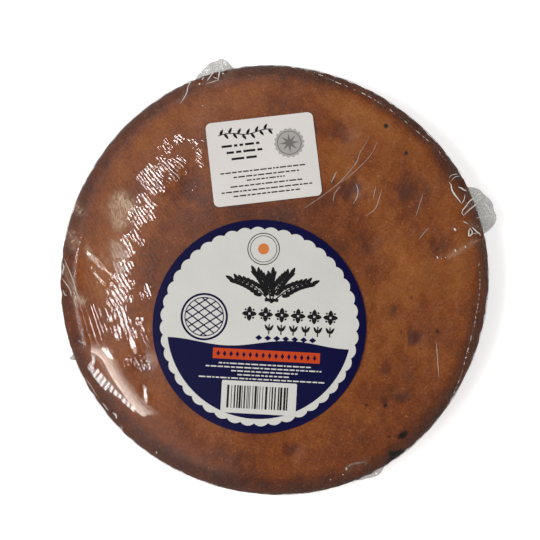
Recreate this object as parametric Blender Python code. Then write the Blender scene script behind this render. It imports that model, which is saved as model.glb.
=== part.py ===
"""A round Breton butter cake, shrunk into clear film, with a round label and a small oblong one on top.

Metres, +Z up. The origin is on the cake's axis, on the flat base that it rests on.
The cake and the film shut tight round it are one solid: a domed crust, a rounded shoulder, a leaning side with the
film's seam round it, and the crumpled ears of film that are left at the four corners of the pack.
"""

import math

import bmesh
import bpy
from mathutils import Vector, noise

MM = 0.001

# The cake in its film
RADIUS = 103.0 * MM
EDGE_HEIGHT = 25.5 * MM
CROWN = 2.6 * MM
SHOULDER_WIDTH = 10.5 * MM
SHOULDER_DROP = 11.0 * MM
WALL_LEAN = 3.6 * MM
BASE_ROUND = 4.0 * MM
WALL_TOP = EDGE_HEIGHT - SHOULDER_DROP

# The outline isn't quite round: each wave is (waves round the cake, height, direction of a crest in degrees).
OUTLINE_WAVES = ((2, 0.35 * MM, -66.0), (3, 0.15 * MM, -12.0), (4, 0.50 * MM, 21.0), (5, 0.15 * MM, 17.0))

# The mesh: cells across the top from edge to edge, which also sets the columns round the side, and rows of the side
TOP_CELLS = 40
SHOULDER_ROWS = 7
LOWER_WALL_HEIGHT = 7.5 * MM
BASE_ROWS = 3

# The crust's uneven top: a slow swell, and hollows where butter bubbled, each (x, y, radius, depth)
SWELL_HEIGHT = 0.55 * MM
SWELL_LENGTH = 34.0 * MM
HOLLOWS = (
    (35.4 * MM, 41.5 * MM, 6.0 * MM, 0.9 * MM),
    (31.9 * MM, 68.7 * MM, 6.5 * MM, 0.7 * MM),
    (65.3 * MM, 40.8 * MM, 8.5 * MM, 0.8 * MM),
    (44.4 * MM, 15.9 * MM, 7.0 * MM, 0.5 * MM),
    (78.6 * MM, 15.1 * MM, 6.5 * MM, 0.8 * MM),
    (-41.0 * MM, 41.6 * MM, 8.5 * MM, 0.8 * MM),
    (65.0 * MM, -28.5 * MM, 5.5 * MM, 0.7 * MM),
    (7.4 * MM, -80.9 * MM, 5.5 * MM, 0.7 * MM),
    (52.0 * MM, -52.0 * MM, 8.0 * MM, 0.5 * MM),
    (-61.8 * MM, -40.7 * MM, 6.0 * MM, 0.7 * MM),
)

# The film: its welded seam round the side, and an ear at each corner of the pack
SEAM_HEIGHT = 12.0 * MM
SEAM_WIDTH = 1.6 * MM
SEAM_DEPTH = 0.7 * MM
EAR_ROOT = 5.0 * MM
EAR_ROOT_THICK = 6.0 * MM
EAR_TIP_THICK = 1.3 * MM
EAR_FOLD = 1.1 * MM
EAR_STEPS_PER_DEGREE = 1.4
EAR_OUT = 6
# Each ear is (name, direction in degrees, half its width in degrees, reach, lean of its peak, folds, rise of its tip)
EARS = (
    ("right", 18.8, 6.8, 8.9 * MM, -0.24, 3.0, -1.5 * MM),
    ("top", 106.3, 6.0, 6.4 * MM, -0.22, 2.5, 2.0 * MM),
    ("bottom", 296.3, 4.2, 2.5 * MM, 0.30, 1.5, 1.0 * MM),
    ("left", 201.4, 1.6, 2.8 * MM, -0.50, 1.0, 0.5 * MM),
)

# Folds of the gathered film, running down the shoulder and the side beside each ear
PLEAT_DEPTH = 0.45 * MM
PLEAT_SPREAD = 9.0

# The paper labels on the film: centre, turn in degrees, and size
LABEL_THICK = 0.3 * MM
LABEL_GAP = 0.3 * MM
ROUND_LABEL_RADIUS = 50.0 * MM
ROUND_LABEL_AT = (-7.0 * MM, -23.3 * MM)
SMALL_LABEL_SIZE = (51.2 * MM, 40.4 * MM)
SMALL_LABEL_CORNER = 2.6 * MM
SMALL_LABEL_AT = (-5.1 * MM, 55.4 * MM)
SMALL_LABEL_TURN = 6.6

# Colours are (red, green, blue), linear
CRUST_BROWN = (0.235, 0.075, 0.021)
LABEL_NAVY = (0.007, 0.007, 0.045)
LABEL_WHITE = (0.68, 0.67, 0.65)


def outline_radius(angle):
    """From the axis to the film at its widest, in the direction of this angle."""
    waves = sum(high * math.cos(count * (angle - math.radians(crest))) for count, high, crest in OUTLINE_WAVES)
    return RADIUS + waves


def crust_relief(x, y):
    """How far the uneven crust lies above the plain dome: the slow swell, less the hollows."""
    swell = SWELL_HEIGHT * noise.noise(Vector((x / SWELL_LENGTH, y / SWELL_LENGTH, 0.0)))
    hollows = sum(
        depth * math.exp(-((x - at_x) ** 2 + (y - at_y) ** 2) / radius**2) for at_x, at_y, radius, depth in HOLLOWS
    )
    return swell - hollows


def top_height(x, y):
    """Height of the film over the top of the cake."""
    inner = RADIUS - SHOULDER_WIDTH
    dome = CROWN * (1.0 - (x * x + y * y) / inner**2)
    return EDGE_HEIGHT + dome + crust_relief(x, y)


def disc_point(across, along):
    """Maps a point of the square from -1 to 1 to the unit disc, with the square's edge spread evenly round the rim."""
    if across == 0.0 and along == 0.0:
        return 0.0, 0.0
    if abs(across) > abs(along):
        reach, angle = across, math.pi / 4 * along / across
    else:
        reach, angle = along, math.pi / 2 - math.pi / 4 * across / along
    return reach * math.cos(angle), reach * math.sin(angle)


def wall_inset(height):
    """How far the leaning side is inside the widest radius at this height."""
    return WALL_LEAN * (WALL_TOP - height) / (WALL_TOP - BASE_ROUND)


def side_rows():
    """The side from the shoulder down to the base, as (inset from the widest radius, height, share of top relief)."""
    rows = []
    for row in range(1, SHOULDER_ROWS + 1):
        turn = math.pi / 2 * row / SHOULDER_ROWS
        inset = SHOULDER_WIDTH * (1.0 - math.sin(turn))
        rows.append((inset, EDGE_HEIGHT - SHOULDER_DROP * (1.0 - math.cos(turn)), math.cos(turn)))
    seam_top, seam_bottom = SEAM_HEIGHT + SEAM_WIDTH / 2, SEAM_HEIGHT - SEAM_WIDTH / 2
    for height, raised in ((seam_top, 0.0), (SEAM_HEIGHT, SEAM_DEPTH), (seam_bottom, 0.0), (LOWER_WALL_HEIGHT, 0.0)):
        rows.append((wall_inset(height) - raised, height, 0.0))
    for row in range(BASE_ROWS + 1):
        turn = math.pi / 2 * row / BASE_ROWS
        inset = WALL_LEAN + BASE_ROUND * (1.0 - math.cos(turn))
        rows.append((inset, BASE_ROUND * (1.0 - math.sin(turn)), 0.0))
    return rows


def pleat(column, angle):
    """How far a fold of gathered film stands out at this column: it turns in and out, and dies away from each ear."""
    side = 1.0 if column % 2 else -1.0
    near = 0.0
    for _, direction, half_width, *_ in EARS:
        away = abs((math.degrees(angle) - direction + 180.0) % 360.0 - 180.0)
        near = max(near, math.exp(-((max(0.0, away - half_width) / PLEAT_SPREAD) ** 2)))
    return PLEAT_DEPTH * side * near


def top_grid(mesh):
    """The domed top, as square cells mapped to a disc. Returns its rim, anticlockwise from 45 degrees below +X."""
    cells = TOP_CELLS
    grid = []
    for i in range(cells + 1):
        row = []
        for j in range(cells + 1):
            across, along = disc_point(2.0 * i / cells - 1.0, 2.0 * j / cells - 1.0)
            inner = outline_radius(math.atan2(along, across)) - SHOULDER_WIDTH
            x, y = across * inner, along * inner
            row.append(mesh.verts.new((x, y, top_height(x, y))))
        grid.append(row)
    for i in range(cells):
        for j in range(cells):
            mesh.faces.new((grid[i][j], grid[i + 1][j], grid[i + 1][j + 1], grid[i][j + 1]))
    right = [grid[cells][j] for j in range(cells)]
    far = [grid[i][cells] for i in range(cells, 0, -1)]
    left = [grid[0][j] for j in range(cells, 0, -1)]
    near = [grid[i][0] for i in range(cells)]
    return right + far + left + near


def wrapped_body():
    """The cake in its film, without the ears: the top, then row after row down the side, and the flat base."""
    mesh = bmesh.new()
    upper = top_grid(mesh)
    count = len(upper)
    rim = [(math.atan2(vert.co.y, vert.co.x), vert.co.z) for vert in upper]
    for inset, height, relief_share in side_rows():
        lower = []
        for column, (angle, rim_height) in enumerate(rim):
            pleat_share = 1.0 - relief_share if height > BASE_ROUND else height / BASE_ROUND
            radius = outline_radius(angle) - inset + pleat(column, angle) * pleat_share
            lift = (rim_height - EDGE_HEIGHT) * relief_share
            lower.append(mesh.verts.new((radius * math.cos(angle), radius * math.sin(angle), height + lift)))
        for column in range(count):
            following = (column + 1) % count
            mesh.faces.new((upper[column], lower[column], lower[following], upper[following]))
        upper = lower
    mesh.faces.new(list(reversed(upper)))
    bmesh.ops.triangulate(mesh, faces=mesh.faces[:])
    bmesh.ops.recalc_face_normals(mesh, faces=mesh.faces[:])
    return mesh_object("wrapped_cake", mesh)


def ear_reach(across, reach, lean):
    """How far an ear stands out past the side, from one end of its root (-1) to the other (1)."""
    share = (across - lean) / (1.0 - lean) if across > lean else (lean - across) / (1.0 + lean)
    return reach * (max(0.0, 1.0 - share**2.4) ** 0.75 + 0.04 * math.cos(9.0 * across))


def film_ear(name, direction, half_width, reach, lean, folds, rise):
    """A crumpled ear of spare film, from inside the side out to its rounded, folded tip."""
    mesh = bmesh.new()
    steps = max(8, round(2.0 * half_width * EAR_STEPS_PER_DEGREE))
    upper, lower = [], []
    for i in range(steps + 1):
        across = 2.0 * i / steps - 1.0
        angle = math.radians(direction + half_width * across)
        start = outline_radius(angle) - EAR_ROOT
        out = EAR_ROOT + ear_reach(across, reach, lean)
        taper = 0.2 + 0.8 * math.sqrt(1.0 - across * across)
        upper_row, lower_row = [], []
        for j in range(EAR_OUT + 1):
            share = j / EAR_OUT
            radius = start + out * share
            thick = (EAR_TIP_THICK + (EAR_ROOT_THICK - EAR_TIP_THICK) * (1.0 - share)) * taper
            fold = EAR_FOLD * share * math.sin(math.pi * folds * across)
            middle = SEAM_HEIGHT + fold + rise * share
            x, y = radius * math.cos(angle), radius * math.sin(angle)
            upper_row.append(mesh.verts.new((x, y, middle + thick / 2)))
            lower_row.append(mesh.verts.new((x, y, middle - thick / 2)))
        upper.append(upper_row)
        lower.append(lower_row)
    for i in range(steps):
        for j in range(EAR_OUT):
            mesh.faces.new((upper[i][j], upper[i][j + 1], upper[i + 1][j + 1], upper[i + 1][j]))
            mesh.faces.new((lower[i][j], lower[i + 1][j], lower[i + 1][j + 1], lower[i][j + 1]))
        for j in (0, EAR_OUT):
            mesh.faces.new((upper[i][j], upper[i + 1][j], lower[i + 1][j], lower[i][j]))
    for i in (0, steps):
        for j in range(EAR_OUT):
            mesh.faces.new((upper[i][j], upper[i][j + 1], lower[i][j + 1], lower[i][j]))
    bmesh.ops.triangulate(mesh, faces=mesh.faces[:])
    bmesh.ops.recalc_face_normals(mesh, faces=mesh.faces[:])
    return mesh_object("ear_" + name, mesh)


def round_outline():
    """The round label's edge, about its own centre."""
    steps = 64
    angles = [2.0 * math.pi * step / steps for step in range(steps)]
    return [(ROUND_LABEL_RADIUS * math.cos(angle), ROUND_LABEL_RADIUS * math.sin(angle)) for angle in angles]


def small_outline():
    """The small label's edge, about its own centre: straight sides with points along them, and rounded corners."""
    half_x, half_y = (side / 2 - SMALL_LABEL_CORNER for side in SMALL_LABEL_SIZE)
    arc_steps, side_steps = 4, 6
    corners = ((half_x, half_y, 0.0), (-half_x, half_y, 90.0), (-half_x, -half_y, 180.0), (half_x, -half_y, 270.0))
    arcs = []
    for at_x, at_y, first in corners:
        angles = [math.radians(first + 90.0 * step / arc_steps) for step in range(arc_steps + 1)]
        arcs.append([(at_x + SMALL_LABEL_CORNER * math.cos(a), at_y + SMALL_LABEL_CORNER * math.sin(a)) for a in angles])
    edge = []
    for arc, following in zip(arcs, arcs[1:] + arcs[:1]):
        edge += arc
        (from_x, from_y), (to_x, to_y) = arc[-1], following[0]
        for step in range(1, side_steps):
            share = step / side_steps
            edge.append((from_x + (to_x - from_x) * share, from_y + (to_y - from_y) * share))
    return edge


def label_solid(name, outline, centre, turn, rings):
    """A thin paper label that follows the film under it: rings of points from its centre out to its edge."""
    mesh = bmesh.new()
    cos_turn, sin_turn = math.cos(math.radians(turn)), math.sin(math.radians(turn))

    def pair(x, y):
        at_x = centre[0] + x * cos_turn - y * sin_turn
        at_y = centre[1] + x * sin_turn + y * cos_turn
        low = top_height(at_x, at_y) + LABEL_GAP
        return mesh.verts.new((at_x, at_y, low + LABEL_THICK)), mesh.verts.new((at_x, at_y, low))

    hub = pair(0.0, 0.0)
    loops = [[pair(x * ring / rings, y * ring / rings) for x, y in outline] for ring in range(1, rings + 1)]
    count = len(outline)
    for column in range(count):
        following = (column + 1) % count
        for side in (0, 1):
            mesh.faces.new((hub[side], loops[0][column][side], loops[0][following][side]))
            for inner, outer in zip(loops, loops[1:]):
                mesh.faces.new((inner[column][side], outer[column][side], outer[following][side], inner[following][side]))
        (top, bottom), (next_top, next_bottom) = loops[-1][column], loops[-1][following]
        mesh.faces.new((top, bottom, next_bottom, next_top))
    bmesh.ops.triangulate(mesh, faces=mesh.faces[:])
    bmesh.ops.recalc_face_normals(mesh, faces=mesh.faces[:])
    return mesh_object(name, mesh)


def mesh_object(name, mesh):
    """Puts a finished bmesh in the scene as an object of this name."""
    data = bpy.data.meshes.new(name)
    mesh.to_mesh(data)
    mesh.free()
    made = bpy.data.objects.new(name, data)
    bpy.context.scene.collection.objects.link(made)
    return made


def fuse(body, pieces):
    """Joins the pieces into the body with one Boolean union, and removes them."""
    group = bpy.data.collections.new("ears")
    bpy.context.scene.collection.children.link(group)
    for piece in pieces:
        bpy.context.scene.collection.objects.unlink(piece)
        group.objects.link(piece)
    union = body.modifiers.new("ears", "BOOLEAN")
    union.operation = "UNION"
    union.solver = "EXACT"
    union.operand_type = "COLLECTION"
    union.collection = group
    bpy.context.view_layer.update()
    joined = bpy.data.meshes.new_from_object(body.evaluated_get(bpy.context.evaluated_depsgraph_get()))
    body.modifiers.clear()
    body.data = joined
    for piece in pieces:
        bpy.data.objects.remove(piece)
    bpy.data.collections.remove(group)


def paint(target, name, colour, roughness, coat=0.0):
    """Gives an object one material of this colour."""
    material = bpy.data.materials.new(name)
    material.use_nodes = True
    shader = material.node_tree.nodes["Principled BSDF"]
    shader.inputs["Base Color"].default_value = (*colour, 1.0)
    shader.inputs["Roughness"].default_value = roughness
    shader.inputs["Metallic"].default_value = 0.0
    shader.inputs["Coat Weight"].default_value = coat
    target.data.materials.clear()
    target.data.materials.append(material)


def main():
    for old in list(bpy.data.objects):
        bpy.data.objects.remove(old)
    cake = wrapped_body()
    fuse(cake, [film_ear(*ear) for ear in EARS])
    cake.data.shade_smooth()
    paint(cake, "crust_in_film", CRUST_BROWN, 0.5, coat=1.0)
    round_label = label_solid("round_label", round_outline(), ROUND_LABEL_AT, 0.0, rings=5)
    paint(round_label, "navy_and_white_print", LABEL_NAVY, 0.4)
    small_label = label_solid("small_label", small_outline(), SMALL_LABEL_AT, SMALL_LABEL_TURN, rings=5)
    paint(small_label, "white_paper", LABEL_WHITE, 0.45)


main()
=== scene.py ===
"""The looks of a round Breton butter cake in clear film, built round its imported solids.

Metres, +Z up, though lengths are in millimetres up to the mesh. The crust, the film over it, the film's ears
and creases, and the labels' paper and print are pieces of their own. A place that was read off the photograph
is given in its pixels, and is cast onto the film from the camera.
"""

import math

import bmesh
import bpy
import numpy as np
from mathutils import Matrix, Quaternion, Vector, bvhtree, noise


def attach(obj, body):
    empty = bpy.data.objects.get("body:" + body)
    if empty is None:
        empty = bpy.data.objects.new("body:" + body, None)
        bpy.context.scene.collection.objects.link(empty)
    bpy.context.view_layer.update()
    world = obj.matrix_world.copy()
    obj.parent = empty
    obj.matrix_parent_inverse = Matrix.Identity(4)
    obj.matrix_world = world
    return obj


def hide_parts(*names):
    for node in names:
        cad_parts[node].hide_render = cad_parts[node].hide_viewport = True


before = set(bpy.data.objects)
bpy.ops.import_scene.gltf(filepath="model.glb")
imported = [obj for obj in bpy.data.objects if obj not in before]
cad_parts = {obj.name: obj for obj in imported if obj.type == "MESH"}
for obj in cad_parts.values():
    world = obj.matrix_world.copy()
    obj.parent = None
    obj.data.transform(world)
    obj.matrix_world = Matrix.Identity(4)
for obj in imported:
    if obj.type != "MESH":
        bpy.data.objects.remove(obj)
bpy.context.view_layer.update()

MM = 0.001

# The wrapped cake's sizes, as in the solids
RADIUS = 103.0
EDGE_HEIGHT = 25.5
CROWN = 2.6
SHOULDER_WIDTH = 10.5
SHOULDER_DROP = 11.0
WALL_LEAN = 3.6
BASE_ROUND = 4.0
WALL_TOP = EDGE_HEIGHT - SHOULDER_DROP
SEAM_HEIGHT = 12.0
# The outline's waves: (how many round the cake, how high, the direction of a crest in degrees)
OUTLINE_WAVES = ((2, 0.35, -66.0), (3, 0.15, -12.0), (4, 0.50, 21.0), (5, 0.15, 17.0))
# The crust's slow swell, and its hollows: (x, y, radius, depth)
SWELL_HEIGHT = 0.55
SWELL_LENGTH = 34.0
HOLLOWS = (
    (35.4, 41.5, 6, 0.9), (31.9, 68.7, 6.5, 0.7), (65.3, 40.8, 8.5, 0.8), (44.4, 15.9, 7, 0.5),
    (78.6, 15.1, 6.5, 0.8), (-41, 41.6, 8.5, 0.8), (65, -28.5, 5.5, 0.7), (7.4, -80.9, 5.5, 0.7),
    (52, -52, 8, 0.5), (-61.8, -40.7, 6, 0.7),
)
# Each ear of film: (direction in degrees, half its width in degrees, reach, lean of its peak, folds, rise of
# its tip, and how full it is, from 1, pointed, upward)
EARS = {
    "right": (18.8, 6.8, 8.7, -0.24, 3.0, -1.5, 2.6),
    "top": (106.2, 5.4, 6.4, -0.40, 2.5, 2.0, 1.35),
    "bottom": (296.3, 4.2, 2.25, 0.30, 1.5, 1.0, 1.3),
    "left": (201.6, 0.8, 2.8, -0.30, 1.0, 0.5, 1.2),
}

# The labels: centre, turn in degrees, and size
ROUND_AT, ROUND_TURN, ROUND_RADIUS = (-7.0, -23.3), -3.1, 50.0
SMALL_AT, SMALL_TURN, SMALL_SIZE, SMALL_CORNER = (-5.1, 55.4), 6.6, (51.2, 40.4), 2.6
LABEL_UNDER, LABEL_TOP, INK_STEP = 0.10, 0.34, 0.03
# On the round label, in its own mm: the middle of its double ring, the foot of its wheat, the middle and the
# step of its trellis, and the bars' left and right ends, foot, top and narrowest width
RINGS_AT, WHEAT_AT, TRELLIS_AT, TRELLIS_STEP = (0.0, 36.2), (5.0, 11.0), (-26.0, 3.0), 3.2
BARS_LEFT, BARS_RIGHT, BARS_FOOT, BARS_TOP, BAR_UNIT = -13.4, 15.6, -38.6, -28.0, 0.33
# On the small label: the middle of its seal, and the height of its flourish
SEAL_AT, FLOURISH_AT = (13.0, 6.5), 13.6

# The camera looks almost straight down. The photograph is 540 pixels square.
PHOTO_SIDE = 540
CAMERA_ELEVATION = math.radians(86.0)
CAMERA_DISTANCE = 562.7
CAMERA_AIM = (-2.05, 3.9, 14.5)
CAMERA_LENS, CAMERA_SENSOR = 78.1, 36.0

# How far the crust lies inside the film
CRUST_GAP = 0.45
# How far the grids of the crust and the film are turned, in degrees
GRID_TURN = 36.0

# The film's step round the left: its height, and its middle, as pairs of (degrees, mm from the axis)
STEP_HEIGHT = 0.6
STEP_MIDDLES = (
    (108, 74), (117, 73), (132, 76), (144, 72), (156, 70), (176, 70), (187, 73), (199, 74), (206, 74),
    (223, 82), (230, 84),
)
# At the lower left the film is stretched over the edge in a wider shoulder: its width, where it comes in and
# fades out, in degrees, and where its swell is pulled flat, in mm from the axis
WIDE_SHOULDER, WIDE_IN, WIDE_OUT = 22.0, (197.0, 206.0), (234.0, 262.0)
PULLED_FLAT = (74.0, 86.0)

# The wrinkles on the left all run away from one point outside the cake, and have their pitch this far from it
WRINKLES_FROM, WRINKLE_REACH = (-144.5, 151.8), 160.0
# The fine ripples' pitch and the coarser folds', in mm, and the share of it over which each one rises
RIPPLE_PITCH, RIPPLE_DUTY = 1.7, 0.82
FOLD_PITCH, FOLD_DUTY = 1.85, 0.30
# How steep the sides of ripples and folds may be that are tilted to mirror the skylight
SLOPE_RANGE = (0.03, 0.36)
# The skylight: heading and tilt from overhead in degrees, and distance in metres, then its size and radiance
SKYLIGHT = (182.0, 32.5, 1.2)
SKYLIGHT_SIZE, SKYLIGHT_RADIANCE = (0.29, 0.32), 15.0
# The finely rippled part of the film: its two sectors, in degrees, its inner and outer reach, and its cells
RIPPLED_SECTORS = {"upper": (104.0, 163.0), "lower": (163.0, 222.0)}
RIPPLED_INNER, RIPPLED_OUTER = 53.0, 96.5
RIPPLED_COLUMNS, RIPPLED_ROWS = 400, 205
# How far the plain film sinks under the rippled sheets, in mm
WRAP_SINK = 0.03
# The film's gathers beside each ear: their height in mm, how closely they are set round the cake, and how far
# they reach, in half widths of the ear
GATHER_HEIGHT, GATHER_COUNT, GATHER_REACH = 0.30, 80.0, 1.2
# The ring of broken film at the lower left, round a pixel of the photograph: its radius and half width in mm
BROKEN_RING_AT, BROKEN_RING_RADIUS, BROKEN_RING_WIDTH = (143.0, 366.0), 2.6, 0.7
# The cells across the tops of the crust and the film, and how close they are set toward the rim
TOP_CELLS, RIM_CLOSENESS = 232, 0.8
# The rings of the flat base, as shares of its reach
BASE_RINGS = (0.97, 0.6, 0.2)
# The ears' sheets: how far they start inside the rim, how thick they are there and at the tip, how high their
# folds are, all in mm, and their cells from root to tip
EAR_ROOT, EAR_ROOT_THICK, EAR_TIP_THICK, EAR_FOLD_HEIGHT, EAR_ROWS = 5.0, 6.0, 0.9, 1.1, 34
# The sizes of the small faces that paper and ink are cut into, in mm
PAPER_CELL, INK_CELL = 2.0, 2.5
# The angle past which an edge of the paper is sharp
SHARP_ANGLE = math.radians(40.0)
# How far the window's bars lean to one side, how far their row climbs toward overhead along the window, how
# far apart the columns are, and the slats' and the bars' widths and heights, in metres
SLANT, BAR_RISE, COLUMN_PITCH = 0.2, 1.1, 0.025
SLAT_SIZE, BAR_SIZE = (0.022, 0.085), (0.017, 0.125)
# Where the window's slats, bars and frame lie: heading and tilt from overhead in degrees, and distance in metres
SLATS_AT, BARS_AT, FRAME_AT = (209.0, 30.0, 1.2), (209.5, 50.0, 1.2), (210.0, 43.0, 1.2)
# The floor: how far it reaches and, in metres, how far it lies under the base
FLOOR_REACH, FLOOR_GAP = 2000.0, 0.0002


# The form of the film, and smooth random fields


def outline_radius(angle):
    """From the axis to the film at its widest, in the direction of this angle."""
    waves = sum(high * np.cos(count * (angle - math.radians(crest))) for count, high, crest in OUTLINE_WAVES)
    return RADIUS + waves


def crust_relief(x, y):
    """How far the uneven top lies above the plain dome: the slow swell, less the hollows."""
    pairs = zip(x.ravel() / SWELL_LENGTH, y.ravel() / SWELL_LENGTH)
    swell = SWELL_HEIGHT * np.array([noise.noise(Vector((u, v, 0.0))) for u, v in pairs]).reshape(x.shape)
    for at_x, at_y, radius, depth in HOLLOWS:
        swell = swell - depth * np.exp(-((x - at_x) ** 2 + (y - at_y) ** 2) / radius**2)
    return swell


def top_height(x, y):
    """Height of the film over the flat of the top."""
    inner = RADIUS - SHOULDER_WIDTH
    return EDGE_HEIGHT + CROWN * (1.0 - (x * x + y * y) / inner**2) + crust_relief(x, y)


def over_edge(distance, angle):
    """The share of its reach that pulls a place back to the top's edge, and how far round that edge it is."""
    inner = outline_radius(angle) - SHOULDER_WIDTH
    pull = np.minimum(1.0, inner / np.maximum(distance, 1e-6))
    return pull, np.arcsin(np.clip((distance - inner) / SHOULDER_WIDTH, 0.0, 1.0))


def film_height(x, y):
    """Height of the film anywhere inside its widest outline, over the top and round the shoulder."""
    x, y = np.asarray(x, float), np.asarray(y, float)
    pull, turn = over_edge(np.hypot(x, y), np.arctan2(y, x))
    lift = (top_height(x * pull, y * pull) - EDGE_HEIGHT) * np.cos(turn)
    return EDGE_HEIGHT - SHOULDER_DROP * (1.0 - np.cos(turn)) + lift


def from_photo(px, py):
    """The point of the film that a pixel of the photograph shows."""
    up = np.array((0.0, math.sin(CAMERA_ELEVATION), math.cos(CAMERA_ELEVATION)))
    ahead = np.array((0.0, math.cos(CAMERA_ELEVATION), -math.sin(CAMERA_ELEVATION)))
    eye = np.array(CAMERA_AIM) - CAMERA_DISTANCE * ahead
    scale = CAMERA_SENSOR / CAMERA_LENS / PHOTO_SIDE
    half = PHOTO_SIDE / 2
    ray = ahead + (px - half) * scale * np.array((1.0, 0.0, 0.0)) + (half - py) * scale * up
    level = EDGE_HEIGHT
    for _ in range(4):
        point = eye + ray * (level - eye[2]) / ray[2]
        level = float(film_height(point[0], point[1]))
    return point[0], point[1], level


def random_field(points, wavelength, seed, stretch=(1.0, 1.0, 1.0), waves=28):
    """A smooth random field over the points, with a spread of 1 and bumps about a wavelength across."""
    draw = np.random.default_rng(seed)
    heading = draw.normal(size=(waves, 3))
    heading /= np.linalg.norm(heading, axis=1)[:, None]
    heading *= (2.0 * math.pi / (wavelength * draw.uniform(0.7, 1.4, waves)))[:, None]
    heading *= np.array(stretch)
    phase = draw.uniform(0.0, 2.0 * math.pi, waves)
    return np.cos(points @ heading.T + phase).sum(axis=1) * math.sqrt(2.0 / waves)


def smooth_step(value, low, high):
    """0 below low, 1 above high, and a smooth turn between."""
    share = np.clip((value - low) / (high - low), 0.0, 1.0)
    return share * share * (3.0 - 2.0 * share)


def wrinkle_field(across, along, pitch, length, seed, waves=40):
    """A smooth random field, with a spread of 1, of bumps a pitch wide and a length long."""
    draw = np.random.default_rng(seed)
    sideways = 2.0 * math.pi / (pitch * draw.uniform(0.7, 1.4, waves))
    lengthways = draw.normal(size=waves) * 2.0 * math.pi / length
    phase = draw.uniform(0.0, 2.0 * math.pi, waves)
    total = np.zeros(across.shape)
    for side, way, first in zip(sideways, lengthways, phase):
        total += np.cos(across * side + along * way + first)
    return total * math.sqrt(2.0 / waves)


def angle_gap(angle, direction):
    """Degrees between each angle, in radians, and a direction in degrees."""
    return np.abs((np.degrees(angle) - direction + 180.0) % 360.0 - 180.0)


def turned(u, v, degrees):
    """A place turned about the origin."""
    turn = math.radians(degrees)
    return u * math.cos(turn) - v * math.sin(turn), u * math.sin(turn) + v * math.cos(turn)


def flat_points(x, y):
    """Places on the flat, as points for random_field."""
    return np.stack((x, y, np.zeros_like(x)), axis=1)


def film_step(x, y):
    """How far the film and the crust under it step down round the left, where the light catches them."""
    distance, angle = np.hypot(x, y), np.arctan2(y, x)
    places, middles = zip(*STEP_MIDDLES)
    middle = np.interp(np.degrees(angle) % 360.0, places, middles)
    down = smooth_step(distance, middle - 7.0, middle + 7.0) - smooth_step(distance, middle + 9.0, 96.0)
    reach = smooth_step(50.0 - angle_gap(angle, 158.0), 0.0, 12.0)
    return -STEP_HEIGHT * down * reach * (1.0 - label_share(x, y, 4.0))


def wide_share(angle):
    """1 in the sector where the film is stretched over the edge, and 0 outside it."""
    degrees = np.degrees(angle) % 360.0
    return smooth_step(degrees, *WIDE_IN) * (1.0 - smooth_step(degrees, *WIDE_OUT))


def film_chamfer(x, y):
    """How far the film is drawn down, and its swell pulled flat, where it is stretched over the edge."""
    distance, angle = np.hypot(x, y), np.arctan2(y, x)
    rim_gap = outline_radius(angle) - distance
    drops = []
    for width in (SHOULDER_WIDTH, WIDE_SHOULDER):
        turn = np.arcsin(np.clip(1.0 - rim_gap / width, 0.0, 1.0))
        drops.append(SHOULDER_DROP * (1.0 - np.cos(turn)))
    pull, turn = over_edge(distance, angle)
    uneven = crust_relief(x * pull, y * pull) * np.cos(turn) * smooth_step(distance, *PULLED_FLAT)
    return wide_share(angle) * (drops[1] - drops[0] + uneven)


def label_share(x, y, margin=2.0):
    """1 under the labels, falling to 0 a margin outside them."""
    away = np.hypot(x - ROUND_AT[0], y - ROUND_AT[1]) - ROUND_RADIUS
    along, across = turned(x - SMALL_AT[0], y - SMALL_AT[1], -SMALL_TURN)
    box = np.maximum(np.abs(along) - SMALL_SIZE[0] / 2, np.abs(across) - SMALL_SIZE[1] / 2)
    return 1.0 - smooth_step(np.minimum(away, box), 0.0, margin)


# Meshes


def mesh_piece(name, points, faces):
    """A smooth mesh piece from points in millimetres."""
    data = bpy.data.meshes.new(name)
    data.from_pydata([tuple(point) for point in np.asarray(points, float) * MM], [], faces)
    data.update()
    data.shade_smooth()
    made = bpy.data.objects.new(name, data)
    bpy.context.scene.collection.objects.link(made)
    return made


def grid_quads(index):
    """The faces of a grid of numbered vertices."""
    corners = (index[:-1, :-1], index[1:, :-1], index[1:, 1:], index[:-1, 1:])
    return np.stack([corner.ravel() for corner in corners], axis=1)


def other_side(quads):
    """The same faces, seen from their other side."""
    return quads[:, (0, 3, 2, 1)]


def as_faces(quads):
    """Rows of vertex numbers as a mesh's faces."""
    return [tuple(int(corner) for corner in quad) for quad in quads]


def set_attribute(piece, name, values):
    """Stores one number for each vertex, for the material to read."""
    layer = piece.data.attributes.new(name, "FLOAT", "POINT")
    layer.data.foreach_set("value", np.asarray(values, np.float32))


def set_film(piece, milk_and_sheen, matte, shine=1.0):
    """Stores how milky and how scuffed the film is at each vertex, and how far it shines; the milk is partly
    painted sheen.
    """
    count = len(piece.data.vertices)
    for name, values in (("milk_and_sheen", milk_and_sheen), ("matte", matte), ("shine", shine)):
        set_attribute(piece, name, np.broadcast_to(values, (count,)))


def disc_grid(cells):
    """A square of cells mapped to the unit disc, closer set toward the rim: its points, faces and rim."""
    line = np.linspace(-1.0, 1.0, cells + 1)
    across, along = np.meshgrid(line, line, indexing="ij")
    wide = np.abs(across) > np.abs(along)
    reach = np.where(wide, across, along)
    safe = np.where(reach == 0.0, 1.0, reach)
    angle = np.where(wide, math.pi / 4 * along / safe, math.pi / 2 - math.pi / 4 * across / safe)
    angle = angle + math.radians(GRID_TURN)
    reach = np.sign(reach) * np.abs(reach) ** RIM_CLOSENESS
    index = np.arange((cells + 1) ** 2).reshape(cells + 1, cells + 1)
    rim = np.concatenate((index[-1, :-1], index[:0:-1, -1], index[0, :0:-1], index[:-1, 0]))
    return (reach * np.cos(angle)).ravel(), (reach * np.sin(angle)).ravel(), grid_quads(index), rim


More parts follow.
